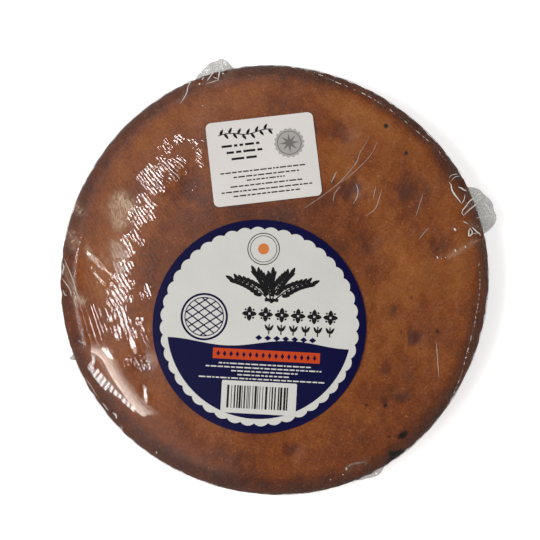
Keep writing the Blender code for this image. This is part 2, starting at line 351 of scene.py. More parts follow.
def profile(top_rows, wall_rows, base_rows):
    """The side, from the top down: rows of (inset, height, share of the top's relief, outward, upward)."""
    rows = []
    for turn in np.linspace(0.0, math.pi / 2, top_rows + 1)[1:]:
        outward, upward = SHOULDER_DROP * math.sin(turn), SHOULDER_WIDTH * math.cos(turn)
        length = math.hypot(outward, upward)
        height = EDGE_HEIGHT - SHOULDER_DROP * (1.0 - math.cos(turn))
        inset = SHOULDER_WIDTH * (1.0 - math.sin(turn))
        rows.append((inset, height, math.cos(turn), outward / length, upward / length))
    for share in np.linspace(0.0, 1.0, wall_rows + 1)[1:]:
        height = WALL_TOP + (BASE_ROUND - WALL_TOP) * share
        rows.append((WALL_LEAN * share**1.1, height, 0.0, 1.0, 0.0))
    for turn in np.linspace(0.0, math.pi / 2, base_rows + 1)[1:]:
        inset = WALL_LEAN + BASE_ROUND * (1.0 - math.cos(turn))
        rows.append((inset, BASE_ROUND * (1.0 - math.sin(turn)), 0.0, math.cos(turn), -math.sin(turn)))
    return rows


def round_body(name, rows, inward, detail):
    """A closed round body, set inward: a gridded top, rows down the side and a flat base.

    detail(points, outward) gives the height of the surface's detail at each point. outward is 0 on the top,
    and 1 on the upright side.
    """
    x, y, quads, rim = disc_grid(TOP_CELLS)
    inner = outline_radius(np.arctan2(y, x)) - SHOULDER_WIDTH
    angle = np.arctan2(y, x)[rim]
    x, y = x * inner, y * inner
    points, normals, faces = [np.stack((x, y, top_height(x, y) - inward), axis=1)], [], [quads]
    normals.append(np.tile((0.0, 0.0, 1.0), (len(x), 1)))
    lift = points[0][rim, 2] + inward - EDGE_HEIGHT
    for inset, height, lift_share, outward, upward in rows:
        radius = outline_radius(angle) - inset - inward * outward
        level = height + lift * lift_share - inward * upward
        points.append(np.stack((radius * np.cos(angle), radius * np.sin(angle), level), axis=1))
        normal = (outward * np.cos(angle), outward * np.sin(angle), np.full(len(rim), upward))
        normals.append(np.stack(normal, axis=1))
    for share in BASE_RINGS:
        points.append(points[len(rows)] * (share, share, 1.0))
        normals.append(np.zeros((len(rim), 3)))
    upper = rim
    for number in range(len(points) - 1):
        lower = len(x) + len(rim) * number + np.arange(len(rim))
        faces.append(np.stack((upper, lower, np.roll(lower, -1), np.roll(upper, -1)), axis=1))
        upper = lower
    points, normals = np.concatenate(points), np.concatenate(normals)
    faces = as_faces(np.concatenate(faces)) + as_faces([upper[::-1]])
    points = points + normals * detail(points, np.hypot(normals[:, 0], normals[:, 1]))[:, None]
    return mesh_piece(name, points, faces), points, normals


# Materials


def new_material(name):
    """A node material, with its node tree's helper."""
    material = bpy.data.materials.new(name)
    material.use_nodes = True
    return material, Nodes(material.node_tree)


class Nodes:
    """Short calls for building a material's node tree."""

    def __init__(self, tree):
        self.tree = tree
        self.shader = tree.nodes["Principled BSDF"]
        self.output = tree.nodes["Material Output"]

    def add(self, kind, inputs=(), **settings):
        """Adds a node; each input is (name or number, a value or another node's output)."""
        node = self.tree.nodes.new("ShaderNode" + kind)
        for key, value in settings.items():
            setattr(node, key, value)
        for key, value in dict(inputs).items():
            if isinstance(value, bpy.types.NodeSocket):
                self.tree.links.new(value, node.inputs[key])
            else:
                node.inputs[key].default_value = value
        return node

    def number(self, name):
        """A number stored on the mesh's vertices."""
        return self.add("Attribute", attribute_name=name, attribute_type="GEOMETRY").outputs["Fac"]

    def noise(self, scale, detail=3.0, roughness=0.5):
        """Smooth noise from 0 to 1, of so many bumps a metre."""
        place = self.add("TexCoord").outputs["Object"]
        inputs = {"Vector": place, "Scale": scale, "Detail": detail, "Roughness": roughness}
        return self.add("TexNoise", inputs).outputs["Fac"]

    def math(self, operation, first, second=0.0, clamp=False):
        """A sum or another operation on two numbers."""
        return self.add("Math", {0: first, 1: second}, operation=operation, use_clamp=clamp).outputs[0]

    def spread(self, value, low, high, to_low=0.0, to_high=1.0):
        """Spreads the range from low to high over another one, and holds it there."""
        inputs = {"Value": value, "From Min": low, "From Max": high, "To Min": to_low, "To Max": to_high}
        return self.add("MapRange", inputs).outputs["Result"]

    def ramp(self, value, stops):
        """Colours along a value, each stop a place and an sRGB colour of 0 to 255."""
        node = self.add("ValToRGB", {"Fac": value})
        elements = node.color_ramp.elements
        while len(elements) < len(stops):
            elements.new(0.5)
        for element, (place, colour) in zip(elements, stops):
            element.position = place
            element.color = linear(colour)
        return node.outputs["Color"]

    def mix(self, share, first, second, blend="MIX"):
        """A blend of two colours."""
        node = self.add("Mix", data_type="RGBA", blend_type=blend)
        sockets = {socket.identifier: socket for socket in node.inputs}
        for key, value in (("Factor_Float", share), ("A_Color", first), ("B_Color", second)):
            if isinstance(value, bpy.types.NodeSocket):
                self.tree.links.new(value, sockets[key])
            else:
                sockets[key].default_value = value
        return [socket for socket in node.outputs if socket.identifier == "Result_Color"][0]

    def bump(self, height, distance, strength):
        """A normal tilted by a height field."""
        inputs = {"Height": height, "Distance": distance, "Strength": strength}
        return self.add("Bump", inputs).outputs["Normal"]

    def link(self, source, name):
        """Joins an output to the main shader's input."""
        self.tree.links.new(source, self.shader.inputs[name])


def linear(colour):
    """A linear colour, with its alpha, from sRGB values of 0 to 255."""
    shares = [value / 255.0 for value in colour]
    return (*(s / 12.92 if s <= 0.04045 else ((s + 0.055) / 1.055) ** 2.4 for s in shares), 1.0)


def crust_material():
    """The baked crust: its browning is stored on the mesh, and grain, pores and crumbs are laid over it."""
    material, nodes = new_material("baked_crust")
    mottle = nodes.noise(210.0, detail=4.0, roughness=0.6)
    grain = nodes.noise(1000.0, detail=2.0, roughness=0.55)
    baked = nodes.math("ADD", nodes.number("bake"), nodes.spread(mottle, 0.3, 0.7, -0.05, 0.05))
    baked = nodes.math("ADD", baked, nodes.spread(grain, 0.3, 0.7, -0.13, 0.13), clamp=True)
    colour = nodes.ramp(
        baked,
        (
            (0.00, (176, 117, 62)),
            (0.25, (156, 92, 40)),
            (0.45, (142, 77, 31)),
            (0.62, (124, 62, 25)),
            (0.80, (100, 51, 28)),
            (1.00, (77, 42, 32)),
        ),
    )
    pores = nodes.spread(nodes.noise(620.0, detail=2.0, roughness=0.5), 0.68, 0.76)
    colour = nodes.mix(nodes.math("MULTIPLY", pores, 0.18), colour, linear((98, 50, 24)))
    crumbs = nodes.spread(nodes.noise(980.0, detail=1.0), 0.68, 0.76)
    colour = nodes.mix(nodes.math("MULTIPLY", crumbs, 0.4), colour, linear((200, 144, 88)))
    colour = nodes.mix(nodes.number("blister"), colour, linear((84, 42, 32)))
    colour = nodes.mix(nodes.number("char"), colour, linear((24, 22, 20)))
    nodes.link(colour, "Base Color")
    nodes.link(nodes.spread(grain, 0.3, 0.7, 0.62, 0.85), "Roughness")
    nodes.shader.inputs["Specular IOR Level"].default_value = 0.25
    relief = nodes.math("ADD", mottle, nodes.math("MULTIPLY", grain, 0.45))
    relief = nodes.math("SUBTRACT", relief, nodes.math("MULTIPLY", pores, 0.4))
    nodes.link(nodes.bump(relief, 0.0004, 0.6), "Normal")
    return material


def film_material(name, tint, milky_sheen):
    """Clear glossy film: it reflects more at a glancing angle. Its milky white is partly the film's own
    cloudiness and partly painted highlights and reflections.

    The mesh says how scuffed it is (matte), how milky (milk), and how far it shines (shine), which is less
    where another sheet shines in its place or where it is dull.
    """
    material, nodes = new_material(name)
    nodes.tree.nodes.remove(nodes.shader)
    crumb = nodes.noise(1500.0, detail=1.0)
    normal = nodes.bump(crumb, 0.0000005, 0.5)
    facing = nodes.add("LayerWeight", {"Blend": 0.5, "Normal": normal}).outputs["Facing"]
    grazing = nodes.math("POWER", facing, 5.0)
    mirror = nodes.spread(grazing, 0.0, 1.0, 0.076, 1.0)
    mirror = nodes.math("MULTIPLY", mirror, nodes.number("shine"))
    clear = nodes.add("BsdfTransparent", {"Color": (*tint, 1.0)}).outputs[0]
    rough = nodes.spread(nodes.number("matte"), 0.0, 1.0, 0.05, 0.36)
    gloss = nodes.add("BsdfGlossy", {"Roughness": rough, "Normal": normal}).outputs[0]
    film = nodes.add("MixShader", {0: mirror, 1: clear, 2: gloss}).outputs[0]
    # the milky white, lit by the lamps, stands in places for highlights and reflections: painted sheen
    haze = nodes.add("BsdfDiffuse", {"Color": (*milky_sheen, 1.0)}).outputs[0]
    glow = nodes.add("BsdfTranslucent", {"Color": (*milky_sheen, 1.0)}).outputs[0]
    milk_and_sheen = nodes.add("MixShader", {0: 0.35, 1: haze, 2: glow}).outputs[0]
    whole = nodes.add("MixShader", {0: nodes.number("milk_and_sheen"), 1: film, 2: milk_and_sheen}).outputs[0]
    nodes.tree.links.new(whole, nodes.output.inputs["Surface"])
    return material


def paper_material(name, colour, roughness=0.5):
    """Printed satin paper: the ink's tone varies a little, and the fibres show in its sheen."""
    material, nodes = new_material(name)
    fibres = nodes.noise(1500.0, detail=4.0, roughness=0.6)
    clouds = nodes.noise(55.0, detail=3.0)
    tone = nodes.spread(nodes.math("ADD", fibres, clouds), 0.7, 1.3, 0.95, 1.04)
    shade = nodes.add("CombineColor", {0: tone, 1: tone, 2: tone}).outputs[0]
    nodes.link(nodes.mix(1.0, linear(colour), shade, blend="MULTIPLY"), "Base Color")
    nodes.link(nodes.spread(fibres, 0.3, 0.7, roughness - 0.06, roughness + 0.06), "Roughness")
    nodes.shader.inputs["Specular IOR Level"].default_value = 0.12
    nodes.link(nodes.bump(fibres, 0.00004, 0.5), "Normal")
    return material


# The crust

# Darker blisters of the crust: (x, y, radius, how much darker it is baked, how purple it is)
BLISTERS = (
    (35.4, 41.5, 5.2, 0.22, 0.75), (31.9, 68.7, 5, 0.2, 0.25), (65.3, 40.8, 7.5, 0.16, 0.25),
    (44.4, 15.9, 6, 0.14, 0.1), (78.6, 15.1, 6, 0.18, 0.3), (45.9, 52.4, 5.5, 0.1, 0),
    (-41, 41.6, 8.5, 0.24, 0.25), (65, -28.5, 3.4, 0.24, 0.85), (7.4, -80.9, 3.6, 0.26, 0.25),
    (56.1, -15.8, 2.4, 0.24, 0.2), (52.3, -43.5, 2.6, 0.24, 0.2), (58.2, -56.6, 2.8, 0.26, 0.25),
    (51.2, -57.3, 2, 0.2, 0.2), (2, 86.7, 7.5, 0.2, 0.1), (-61.8, -40.7, 4.5, 0.2, 0.1),
    (-15, 33, 7, 0.14, 0.2), (8, 30, 6, 0.08, 0.1), (50, 5, 7, 0.1, 0.05),
)
# Burnt specks: (x, y, radius)
SPECKS = (
    (52.9, 71.9, 1), (62.3, 58.7, 1), (51.9, -60.3, 0.8), (43, -60, 0.6), (64.3, -10, 0.7),
    (61.3, -21.8, 0.8), (59.4, -25.9, 0.5), (76.6, -25.9, 0.7), (60.9, -74.6, 1.9), (58.6, -82.6, 2.6),
    (55.4, -84.6, 2.6), (76.9, 13, 0.6),
)
# Paler and darker parts of the crust: (direction in degrees, mm from the axis, half width in degrees and in
# mm, tone)
TONES = (
    (-6, 58, 16, 9, -0.16), (-6, 96.5, 14, 4, -0.15), (44, 58, 18, 8, -0.12), (55, 92, 32, 5, -0.11),
    (132, 87, 18, 6, -0.08), (175, 83, 27, 12, -0.13), (250, 76, 20, 7, -0.09), (250, 97, 20, 5, 0.16),
    (90, 66, 28, 11, 0.1), (160, 57, 38, 8, 0.1),
)


def crust_browning(points, outward):
    """How dark the crust is baked at each point, from 0, pale gold, to 1, dark brown."""
    x, y, z = points.T
    distance, angle = np.hypot(x, y), np.arctan2(y, x)
    rim_gap = outline_radius(angle) - distance
    stops = ((3.0, 0.82), (6.0, 0.80), (7.5, 0.72), (9.5, 0.60), (12.0, 0.52), (17.0, 0.48), (24.0, 0.51))
    stops += ((30.0, 0.51), (40.0, 0.40), (49.0, 0.42), (58.0, 0.58), (75.0, 0.62), (103.0, 0.60))
    places, tones = zip(*stops)
    tone = np.interp(rim_gap, places, tones) + 0.03
    pale_ring = np.exp(-(((rim_gap - 15.0) / 7.0) ** 2))
    tone -= 0.14 * pale_ring * np.cos(angle - math.radians(75.0))
    left = 0.5 - 0.5 * np.cos(angle)
    tone += 0.14 * left * smooth_step(80.0 - distance, 0.0, 25.0)
    for direction, reach, half_angle, half_width, darker in TONES:
        gap = (angle_gap(angle, direction) / half_angle) ** 2 + ((distance - reach) / half_width) ** 2
        tone += darker * np.exp(-gap)
    tone += 0.05 * random_field(points, 42.0, 11) + 0.035 * random_field(points, 15.0, 12)
    tone += 0.02 * random_field(points, 6.0, 13)
    wall = smooth_step(outward, 0.75, 1.0)
    tone = tone * (1.0 - wall) + wall * (0.86 + 0.05 * random_field(points, 12.0, 14))
    tone -= 0.22 * smooth_step(WALL_TOP - z, 2.0, 12.0) * wall
    return tone


def crust_piece():
    """The cake itself: an uneven, pitted crust with blisters, burnt specks and a dark rim."""

    def detail(points, outward):
        lumps = 0.13 * random_field(points, 7.0, 1) + 0.07 * random_field(points, 3.2, 2)
        pits = 0.22 * smooth_step(random_field(points, 2.6, 3), 1.5, 2.4)
        x, y, _ = points.T
        drawn = film_chamfer(x, y) * np.sqrt(1.0 - outward**2) * (outward < 0.999)
        return np.minimum(lumps - pits, 0.32) + film_step(x, y) * (outward < 0.5) - drawn

    made, points, normals = round_body("cake_crust", profile(14, 14, 6), CRUST_GAP, detail)
    outward = np.hypot(normals[:, 0], normals[:, 1])
    tone = crust_browning(points, outward)
    x, y, _ = points.T
    purple, burnt = np.zeros(len(points)), np.zeros(len(points))
    wobble = 1.0 + 0.28 * random_field(points, 5.0, 15)
    top_side = outward < 0.98
    for at_x, at_y, radius, darker, violet in BLISTERS:
        near = np.exp(-(((x - at_x) ** 2 + (y - at_y) ** 2) / (radius * wobble) ** 2) ** 1.5) * top_side
        tone += darker * near
        purple = np.maximum(purple, violet * near)
    for at_x, at_y, radius in SPECKS:
        gap = np.hypot(x - at_x, y - at_y) / (radius * wobble)
        burnt = np.maximum(burnt, (1.0 - smooth_step(gap, 0.7, 1.2)) * top_side)
    set_attribute(made, "bake", np.clip(tone, 0.0, 1.0))
    set_attribute(made, "blister", np.clip(purple, 0.0, 1.0))
    set_attribute(made, "char", np.clip(burnt, 0.0, 1.0))
    return made


# The film

# Places where the film leans to one side: (photo x, photo y, half length and half width in mm, the direction
# they run, how far they lean, and the direction of that lean, in degrees)
FILM_FACETS = (
    (94.5, 260, 4.6, 2.3, -55, 13.5, 247), (99, 279, 6, 0.9, -62, 13.5, 246),
    (107.5, 272, 6.5, 1, -52, 13.5, 245), (111, 284, 2.5, 0.8, 40, 12.5, 243),
    (133, 345, 5.4, 1.9, -62, 9.4, 180), (145.5, 394, 4, 1.6, -66, 10.7, 164),
)
# Pale milky streaks in the film, painted reflections standing in for what it mirrors of the light round it:
# (from x and y, to x and y in the photo, half width in mm, how cloudy)
PAINTED_REFLECTIONS = (
    (76, 205, 80, 211, 2.2, 0.36), (71, 234, 74, 244, 2.2, 0.36), (72, 246, 74, 248, 1.8, 0.26),
    (64, 266, 68, 278, 1.4, 0.19), (69, 280, 76, 298, 1.8, 0.23), (76, 297, 82, 302, 2.2, 0.41),
    (120, 200, 129, 207, 3.8, 0.6), (115, 209, 121, 222, 3.6, 0.48), (115, 246, 120, 264, 3.2, 0.3),
    (87, 248, 93, 258, 1.6, 0.26), (92, 262, 104, 290, 1.3, 0.2), (98, 258, 113, 277, 1.2, 0.17),
    (483, 236, 449, 257, 1.3, 0.19), (470, 225, 482, 230, 1.6, 0.14), (468, 206, 476, 200, 1.4, 0.1),
    (200, 84, 214, 80, 2, 0.1), (182, 100, 190, 84, 1.6, 0.1), (219, 82, 232, 72, 2.2, 0.09),
    (346, 470, 366, 462, 1.3, 0.12),
)
# Places where the film is crumpled on the crumb, and glints: (photo x, photo y, radius in mm, how crumpled)
CRUMPLES = (
    (204, 139, 2, 0.7), (193, 141, 3, 0.7), (178, 138, 3.5, 0.8), (167, 147, 4, 1), (178, 163, 4.5, 1),
    (163, 165, 5, 1), (154, 171, 5, 1), (174, 174, 4, 1), (158, 178, 4, 1), (144, 178, 3.5, 0.9),
    (156, 187, 4, 1), (142, 198, 3.5, 1), (148, 207, 4, 1), (138, 215, 4.5, 1), (149, 215, 3.5, 0.8),
    (135, 223, 4, 1), (128, 240, 4, 0.9), (133, 236, 3.5, 0.9), (130, 252, 3, 0.8), (127, 266, 4, 1),
    (123, 280, 3.5, 0.9), (130, 283, 3, 0.8), (118, 294, 3.5, 0.9), (127, 297, 3.5, 0.9),
    (114, 302, 3, 0.8), (119, 310, 4, 0.8), (112, 318, 3, 0.6), (125, 322, 4, 0.8), (118, 330, 4, 0.7),
    (130, 334, 4, 0.9), (140, 362, 3.5, 0.9), (130, 360, 3, 0.6), (201, 151, 2, 0.7), (199, 160, 2.5, 0.8),
    (201, 166, 2, 0.7), (147, 292, 3.5, 0.8), (153, 296, 2.5, 0.7), (146, 330, 3.5, 0.7),
    (150, 338, 3, 0.6), (143, 240, 3, 0.5), (141, 320, 3, 0.5),
)
# Scuffed patches, which blur what they reflect: (photo x, photo y, radius in mm, how scuffed)
SCUFFS = (
    (64, 270, 5, 0.9), (65, 288, 5, 0.9), (66, 305, 5, 0.9), (68, 322, 5, 0.9), (71, 338, 5, 0.9),
    (77, 352, 5, 0.8), (122, 203, 5, 0.75), (118, 214, 4, 0.6), (117, 225, 4, 0.55), (117, 250, 5, 0.6),
    (119, 268, 4, 0.5), (97, 262, 5, 0.4),
)
# The parallel folds at the left, as patches: (photo x, photo y, radius in mm, strength)
FOLD_PLACES = (
    (78, 312, 4.5, 1), (86, 314, 5.5, 1), (96, 314, 5, 1), (103, 313, 3.6, 0.9), (82, 330, 5, 1),
    (92, 329, 5.5, 1), (101, 328, 4.2, 0.9), (86, 342, 4, 0.8), (96, 338, 4, 0.8),
)


def patches(x, y, places, seed, raggedness, inner=0.6, outer=1.15):
    """The strongest of several ragged patches, each (photo x, photo y, radius in mm, strength)."""
    ragged = 1.0 + raggedness * random_field(flat_points(x, y), 5.0, seed)
    strength = np.zeros(x.shape)
    for px, py, radius, strong in places:
        at_x, at_y, _ = from_photo(px, py)
        gap = np.hypot(x - at_x, y - at_y) / (radius * ragged)
        strength = np.maximum(strength, strong * (1.0 - smooth_step(gap, inner, outer)))
    return strength


def streaks(x, y, places):
    """The strongest of several soft streaks, listed as in PAINTED_REFLECTIONS."""
    strength = np.zeros(x.shape)
    for first_x, first_y, last_x, last_y, half_width, strong in places:
        first, last = np.array(from_photo(first_x, first_y)[:2]), np.array(from_photo(last_x, last_y)[:2])
        run = last - first
        along = np.clip(((x - first[0]) * run[0] + (y - first[1]) * run[1]) / (run @ run), 0.0, 1.0)
        gap = np.hypot(x - first[0] - along * run[0], y - first[1] - along * run[1])
        strength = np.maximum(strength, strong * np.exp(-((gap / half_width) ** 2)))
    return strength


def rippled_share(x, y):
    """1 where the finely rippled sheet makes the film's shine, and 0 where the plain one does."""
    distance, angle = np.hypot(x, y), np.arctan2(y, x)
    low, high = RIPPLED_SECTORS["upper"][0], RIPPLED_SECTORS["lower"][1]
    sector = smooth_step((high - low) / 2 - angle_gap(angle, (high + low) / 2), 0.2, 3.0)
    ring = smooth_step(distance, RIPPLED_INNER + 0.3, RIPPLED_INNER + 3.0)
    outer = RIPPLED_OUTER - 12.5 * smooth_step(np.degrees(angle) % 360.0, 196.0, 208.0)
    ring *= 1.0 - smooth_step(distance, outer - 4.0, outer - 0.5)
    return sector * ring * (1.0 - label_share(x, y, 3.5))


def wrinkle_place(x, y):
    """Across and along the wrinkles, in mm, and how much wider than the mean they are spaced here."""
    east, north = x - WRINKLES_FROM[0], y - WRINKLES_FROM[1]
    reach = np.hypot(east, north)
    return np.arctan2(north, east) * WRINKLE_REACH, reach, reach / WRINKLE_REACH


def saw(place, pitch, duty):
    """Even wrinkles from 0 to 1, each rising over a share of its width and falling back over the rest."""
    share = place / pitch - np.floor(place / pitch)
    return np.where(share < duty, share / duty, (1.0 - share) / (1.0 - duty))


def sheet_height(x, y):
    """The film over the top without its ripples."""
    return film_height(x, y) + film_step(x, y) + film_lean(x, y) - film_chamfer(x, y)


def ripple_slope(x, y, height, heading):
    """How steep a ripple that rises along the heading must be here for its flank to mirror the skylight."""
    up = np.array((0.0, -math.cos(CAMERA_ELEVATION), math.sin(CAMERA_ELEVATION)))
    to_camera = np.array(CAMERA_AIM) + CAMERA_DISTANCE * up - np.stack((x, y, height), axis=1)
    turn, tilt = math.radians(SKYLIGHT[0]), math.radians(SKYLIGHT[1])
    light = np.array((math.sin(tilt) * math.cos(turn), math.sin(tilt) * math.sin(turn), math.cos(tilt)))
    to_light = light * SKYLIGHT[2] / MM - np.stack((x, y, height), axis=1)
    facing = to_camera / np.linalg.norm(to_camera, axis=1)[:, None]
    facing += to_light / np.linalg.norm(to_light, axis=1)[:, None]
    step = 0.4
    east = (sheet_height(x + step, y) - sheet_height(x - step, y)) / (2 * step)
    north = (sheet_height(x, y + step) - sheet_height(x, y - step)) / (2 * step)
    needed_east, needed_north = -facing[:, 0] / facing[:, 2] - east, -facing[:, 1] / facing[:, 2] - north
    return needed_east * np.cos(heading) + needed_north * np.sin(heading)


def ripple_phase(x, y):
    """How far across the ripples a place is, in mm, along lines that waver."""
    across, along, _ = wrinkle_place(x, y)
    return across + 0.6 * wrinkle_field(across, along, 26.0, 40.0, 52)


def ripple_height(x, y, height):
    """The film's fine ripples and folds, in mm, over its height here."""
    across, along, wider = wrinkle_place(x, y)
    uphill = across / WRINKLE_REACH + math.pi / 2
    slope = np.clip(ripple_slope(x, y, height, uphill), *SLOPE_RANGE)
    step = 0.1
    east, north = step * np.cos(uphill), step * np.sin(uphill)
    rise = (ripple_phase(x + east, y + north) - ripple_phase(x - east, y - north)) / (2 * step)
    strength = smooth_step(patches(x, y, CRUMPLES, 22, 0.25, 0.5, 1.1), 0.18, 0.36)
    flank = slope * np.maximum(strength, 0.2 * smooth_step(y, -40.0, -15.0))
    flank *= 0.35 + 0.65 * smooth_step(wrinkle_field(across, along, 2.6, 6.0, 51), -0.75, -0.35)
    relief = flank * RIPPLE_DUTY * RIPPLE_PITCH / np.clip(rise, 0.4, 2.5)
    relief *= saw(ripple_phase(x, y), RIPPLE_PITCH, RIPPLE_DUTY)
    fold = patches(x, y, FOLD_PLACES, 23, 0.12, 0.6, 1.2)
    bend = 0.22 * wrinkle_field(across, along, 6.0, 40.0, 54)
    lines = saw(across + bend, FOLD_PITCH, FOLD_DUTY) * FOLD_DUTY * FOLD_PITCH * wider
    uneven = 1.0 + 0.12 * wrinkle_field(across, along, 1.2, 3.0, 55)
    relief = relief * (1.0 - 0.8 * fold) + slope * fold * lines * uneven
    points = flat_points(x, y)
    relief += 0.004 * strength * random_field(points, 1.3, 56, waves=40)
    ring_x, ring_y, _ = from_photo(*BROKEN_RING_AT)
    gap = (np.hypot(x - ring_x, y - ring_y) - BROKEN_RING_RADIUS) / BROKEN_RING_WIDTH
    return relief + 0.05 * np.exp(-(gap**2)) * random_field(points, 1.7, 57, waves=40)


def film_lean(x, y):
    """The places where the film leans to one side."""
    relief = np.zeros(x.shape)
    for px, py, half_length, half_width, run, lean, heading in FILM_FACETS:
        at_x, at_y, _ = from_photo(px, py)
        slope, _ = turned(x - at_x, y - at_y, -heading)
        along, across = turned(x - at_x, y - at_y, -run)
        gap = (along / half_length) ** 2 + (across / half_width) ** 2
        relief -= math.tan(math.radians(lean)) * slope * np.exp(-(gap**2))
    return relief


def film_milk_and_reflections(x, y):
    """How milky the film is over the top, with its pale streaks of painted reflection."""
    points = flat_points(x, y)
    thin = 0.003 + 0.005 * np.clip(random_field(points, 20.0, 34), 0.0, 1.0)
    right = smooth_step(x + 0.5 * y, 10.0, 60.0)
    thin += right * (0.008 + 0.006 * np.clip(random_field(points, 9.0, 36), -1.0, 1.0))
    slant = flat_points(0.5 * x + 0.87 * y, 7.0 * (0.87 * x - 0.5 * y))
    thin += right * 0.05 * smooth_step(random_field(slant, 9.0, 39, waves=60), 1.3, 2.3)
    mottle = 0.7 + 0.3 * random_field(points, 1.8, 37) + 0.45 * random_field(points, 0.8, 38)
    return thin + streaks(x, y, PAINTED_REFLECTIONS) * np.clip(mottle, 0.0, 1.6)


def film_dullness(x, y):
    """How far the film's shine is lost where it is gathered at the left rim."""
    around, reach = np.arctan2(y, x), np.hypot(x, y)
    return 0.8 * smooth_step(17.0 - angle_gap(around, 186.0), 0.0, 7.0) * smooth_step(reach, 88.5, 91.0)


def film_piece():
    """The film over the crust, which is stretched smooth at the lower left and gathers by the ears."""

    def detail(points, outward):
        x, y, z = points.T
        angle = np.arctan2(y, x)
        top = outward < 0.5
        relief = 0.012 * random_field(points, 9.0, 31) * (1.0 - wide_share(angle) * (np.hypot(x, y) > 79.0))
        relief += film_lean(x, y) * top - WRAP_SINK * rippled_share(x, y) * top
        side = smooth_step(outward, 0.25, 0.8)
        for direction, half_width, *_ in EARS.values():
            beyond = np.maximum(0.0, angle_gap(angle, direction) - half_width) / (GATHER_REACH * half_width)
            folds = np.cos(GATHER_COUNT * angle + 2.0 * np.sin(7.0 * angle) + z / 6.0)
            relief += GATHER_HEIGHT * np.exp(-(beyond**2)) * (folds - 0.6) * side
        tight = smooth_step(22.0 - angle_gap(angle, 218.0), 0.0, 8.0)
        uneven = np.minimum(0.0, random_field(points, 14.0, 33, (1.0, 1.0, 0.25)) - 1.2)
        relief += 0.10 * side * uneven * (1.0 - tight)
        relief -= film_chamfer(x, y) * np.sqrt(1.0 - outward**2) * (outward < 0.999)
        free = np.where(z < 0.3, 0.0, 1.0 - label_share(x, y))
        return relief * free + film_step(x, y) * top

    made, points, normals = round_body("film_wrap", profile(20, 12, 5), 0.0, detail)
    outward = np.hypot(normals[:, 0], normals[:, 1])
    x, y = points[:, 0], points[:, 1]
    top = outward < 0.98
    shine = (1.0 - rippled_share(x, y) * top) * (1.0 - film_dullness(x, y))
    set_film(made, film_milk_and_reflections(x, y) * top, patches(x, y, SCUFFS, 35, 0.3) * top, shine)
    return made


def rippled_piece(name, first, last):
    """A sector of the film's finely rippled sheet, between the labels and the shoulder."""
    turn = np.radians(np.linspace(first, last, RIPPLED_COLUMNS + 1))[:, None]
    reach = np.linspace(RIPPLED_INNER, RIPPLED_OUTER, RIPPLED_ROWS + 1)[None, :]
    x, y = (reach * np.cos(turn)).ravel(), (reach * np.sin(turn)).ravel()
    share = rippled_share(x, y)
    height = sheet_height(x, y)
    height += ripple_height(x, y, height) * share - WRAP_SINK * 0.5 * (1.0 - share)
    index = np.arange(len(x)).reshape(RIPPLED_COLUMNS + 1, RIPPLED_ROWS + 1)
    faces = other_side(grid_quads(index))
    faces = faces[share[faces].max(axis=1) > 0.0]
    used, faces = np.unique(faces, return_inverse=True)
    points = np.stack((x, y, height), axis=1)[used]
    made = mesh_piece("film_ripples_" + name, points, as_faces(faces.reshape(-1, 4)))
    x, y = points[:, 0], points[:, 1]
    shine = share[used] * (1.0 - film_dullness(x, y))
    set_film(made, film_milk_and_reflections(x, y) * 0.5 * share[used], patches(x, y, SCUFFS, 35, 0.3), shine)
    return made


def ear_reach(across, reach, lean, full):
    """How far an ear stands out past the side, from one end of its root (-1) to the other (1)."""
    share = np.where(across > lean, (across - lean) / (1.0 - lean), (lean - across) / (1.0 + lean))
    return reach * (np.maximum(0.0, 1.0 - share**full) ** 0.8 + 0.03 * np.cos(9.0 * across))


def ear_sheets(direction, half_width, reach, lean, folds, rise, full):
    """An ear's upper and lower sheet, as grids of points, and how far out each point is, from 0 to 1."""
    columns = max(24, int(half_width * 11))
    across = np.linspace(-1.0, 1.0, columns + 1)[:, None] * np.ones((1, EAR_ROWS + 1))
    share = np.ones((columns + 1, 1)) * np.linspace(0.0, 1.0, EAR_ROWS + 1)[None, :]
    angle = np.radians(direction + half_width * across)
    radius = outline_radius(angle) - EAR_ROOT + (EAR_ROOT + ear_reach(across, reach, lean, full)) * share
    taper = 0.12 + 0.88 * np.sqrt(1.0 - across * across)
    close = np.sqrt(np.maximum(0.0, 1.0 - share**8))
    thick = EAR_TIP_THICK + (EAR_ROOT_THICK - EAR_TIP_THICK) * (1.0 - share) ** 1.3
    thick *= taper * (0.15 + 0.85 * close)
    middle = SEAM_HEIGHT + EAR_FOLD_HEIGHT * share * np.sin(math.pi * folds * across) + rise * share
    flat = np.stack((radius * np.cos(angle), radius * np.sin(angle), middle), axis=2)
    grid = flat.reshape(-1, 3)
    crumple = np.abs(random_field(grid, 6.0, 41)) * 0.5 + np.abs(random_field(grid, 3.0, 42)) * 0.10
    crumple = (crumple.reshape(share.shape) - 0.45) * smooth_step(share, 0.15, 0.6)
    upper, lower = flat.copy(), flat.copy()
    upper[:, :, 2] += thick / 2 + crumple
    lower[:, :, 2] -= thick / 2 - crumple * 0.8
    return upper, lower, share


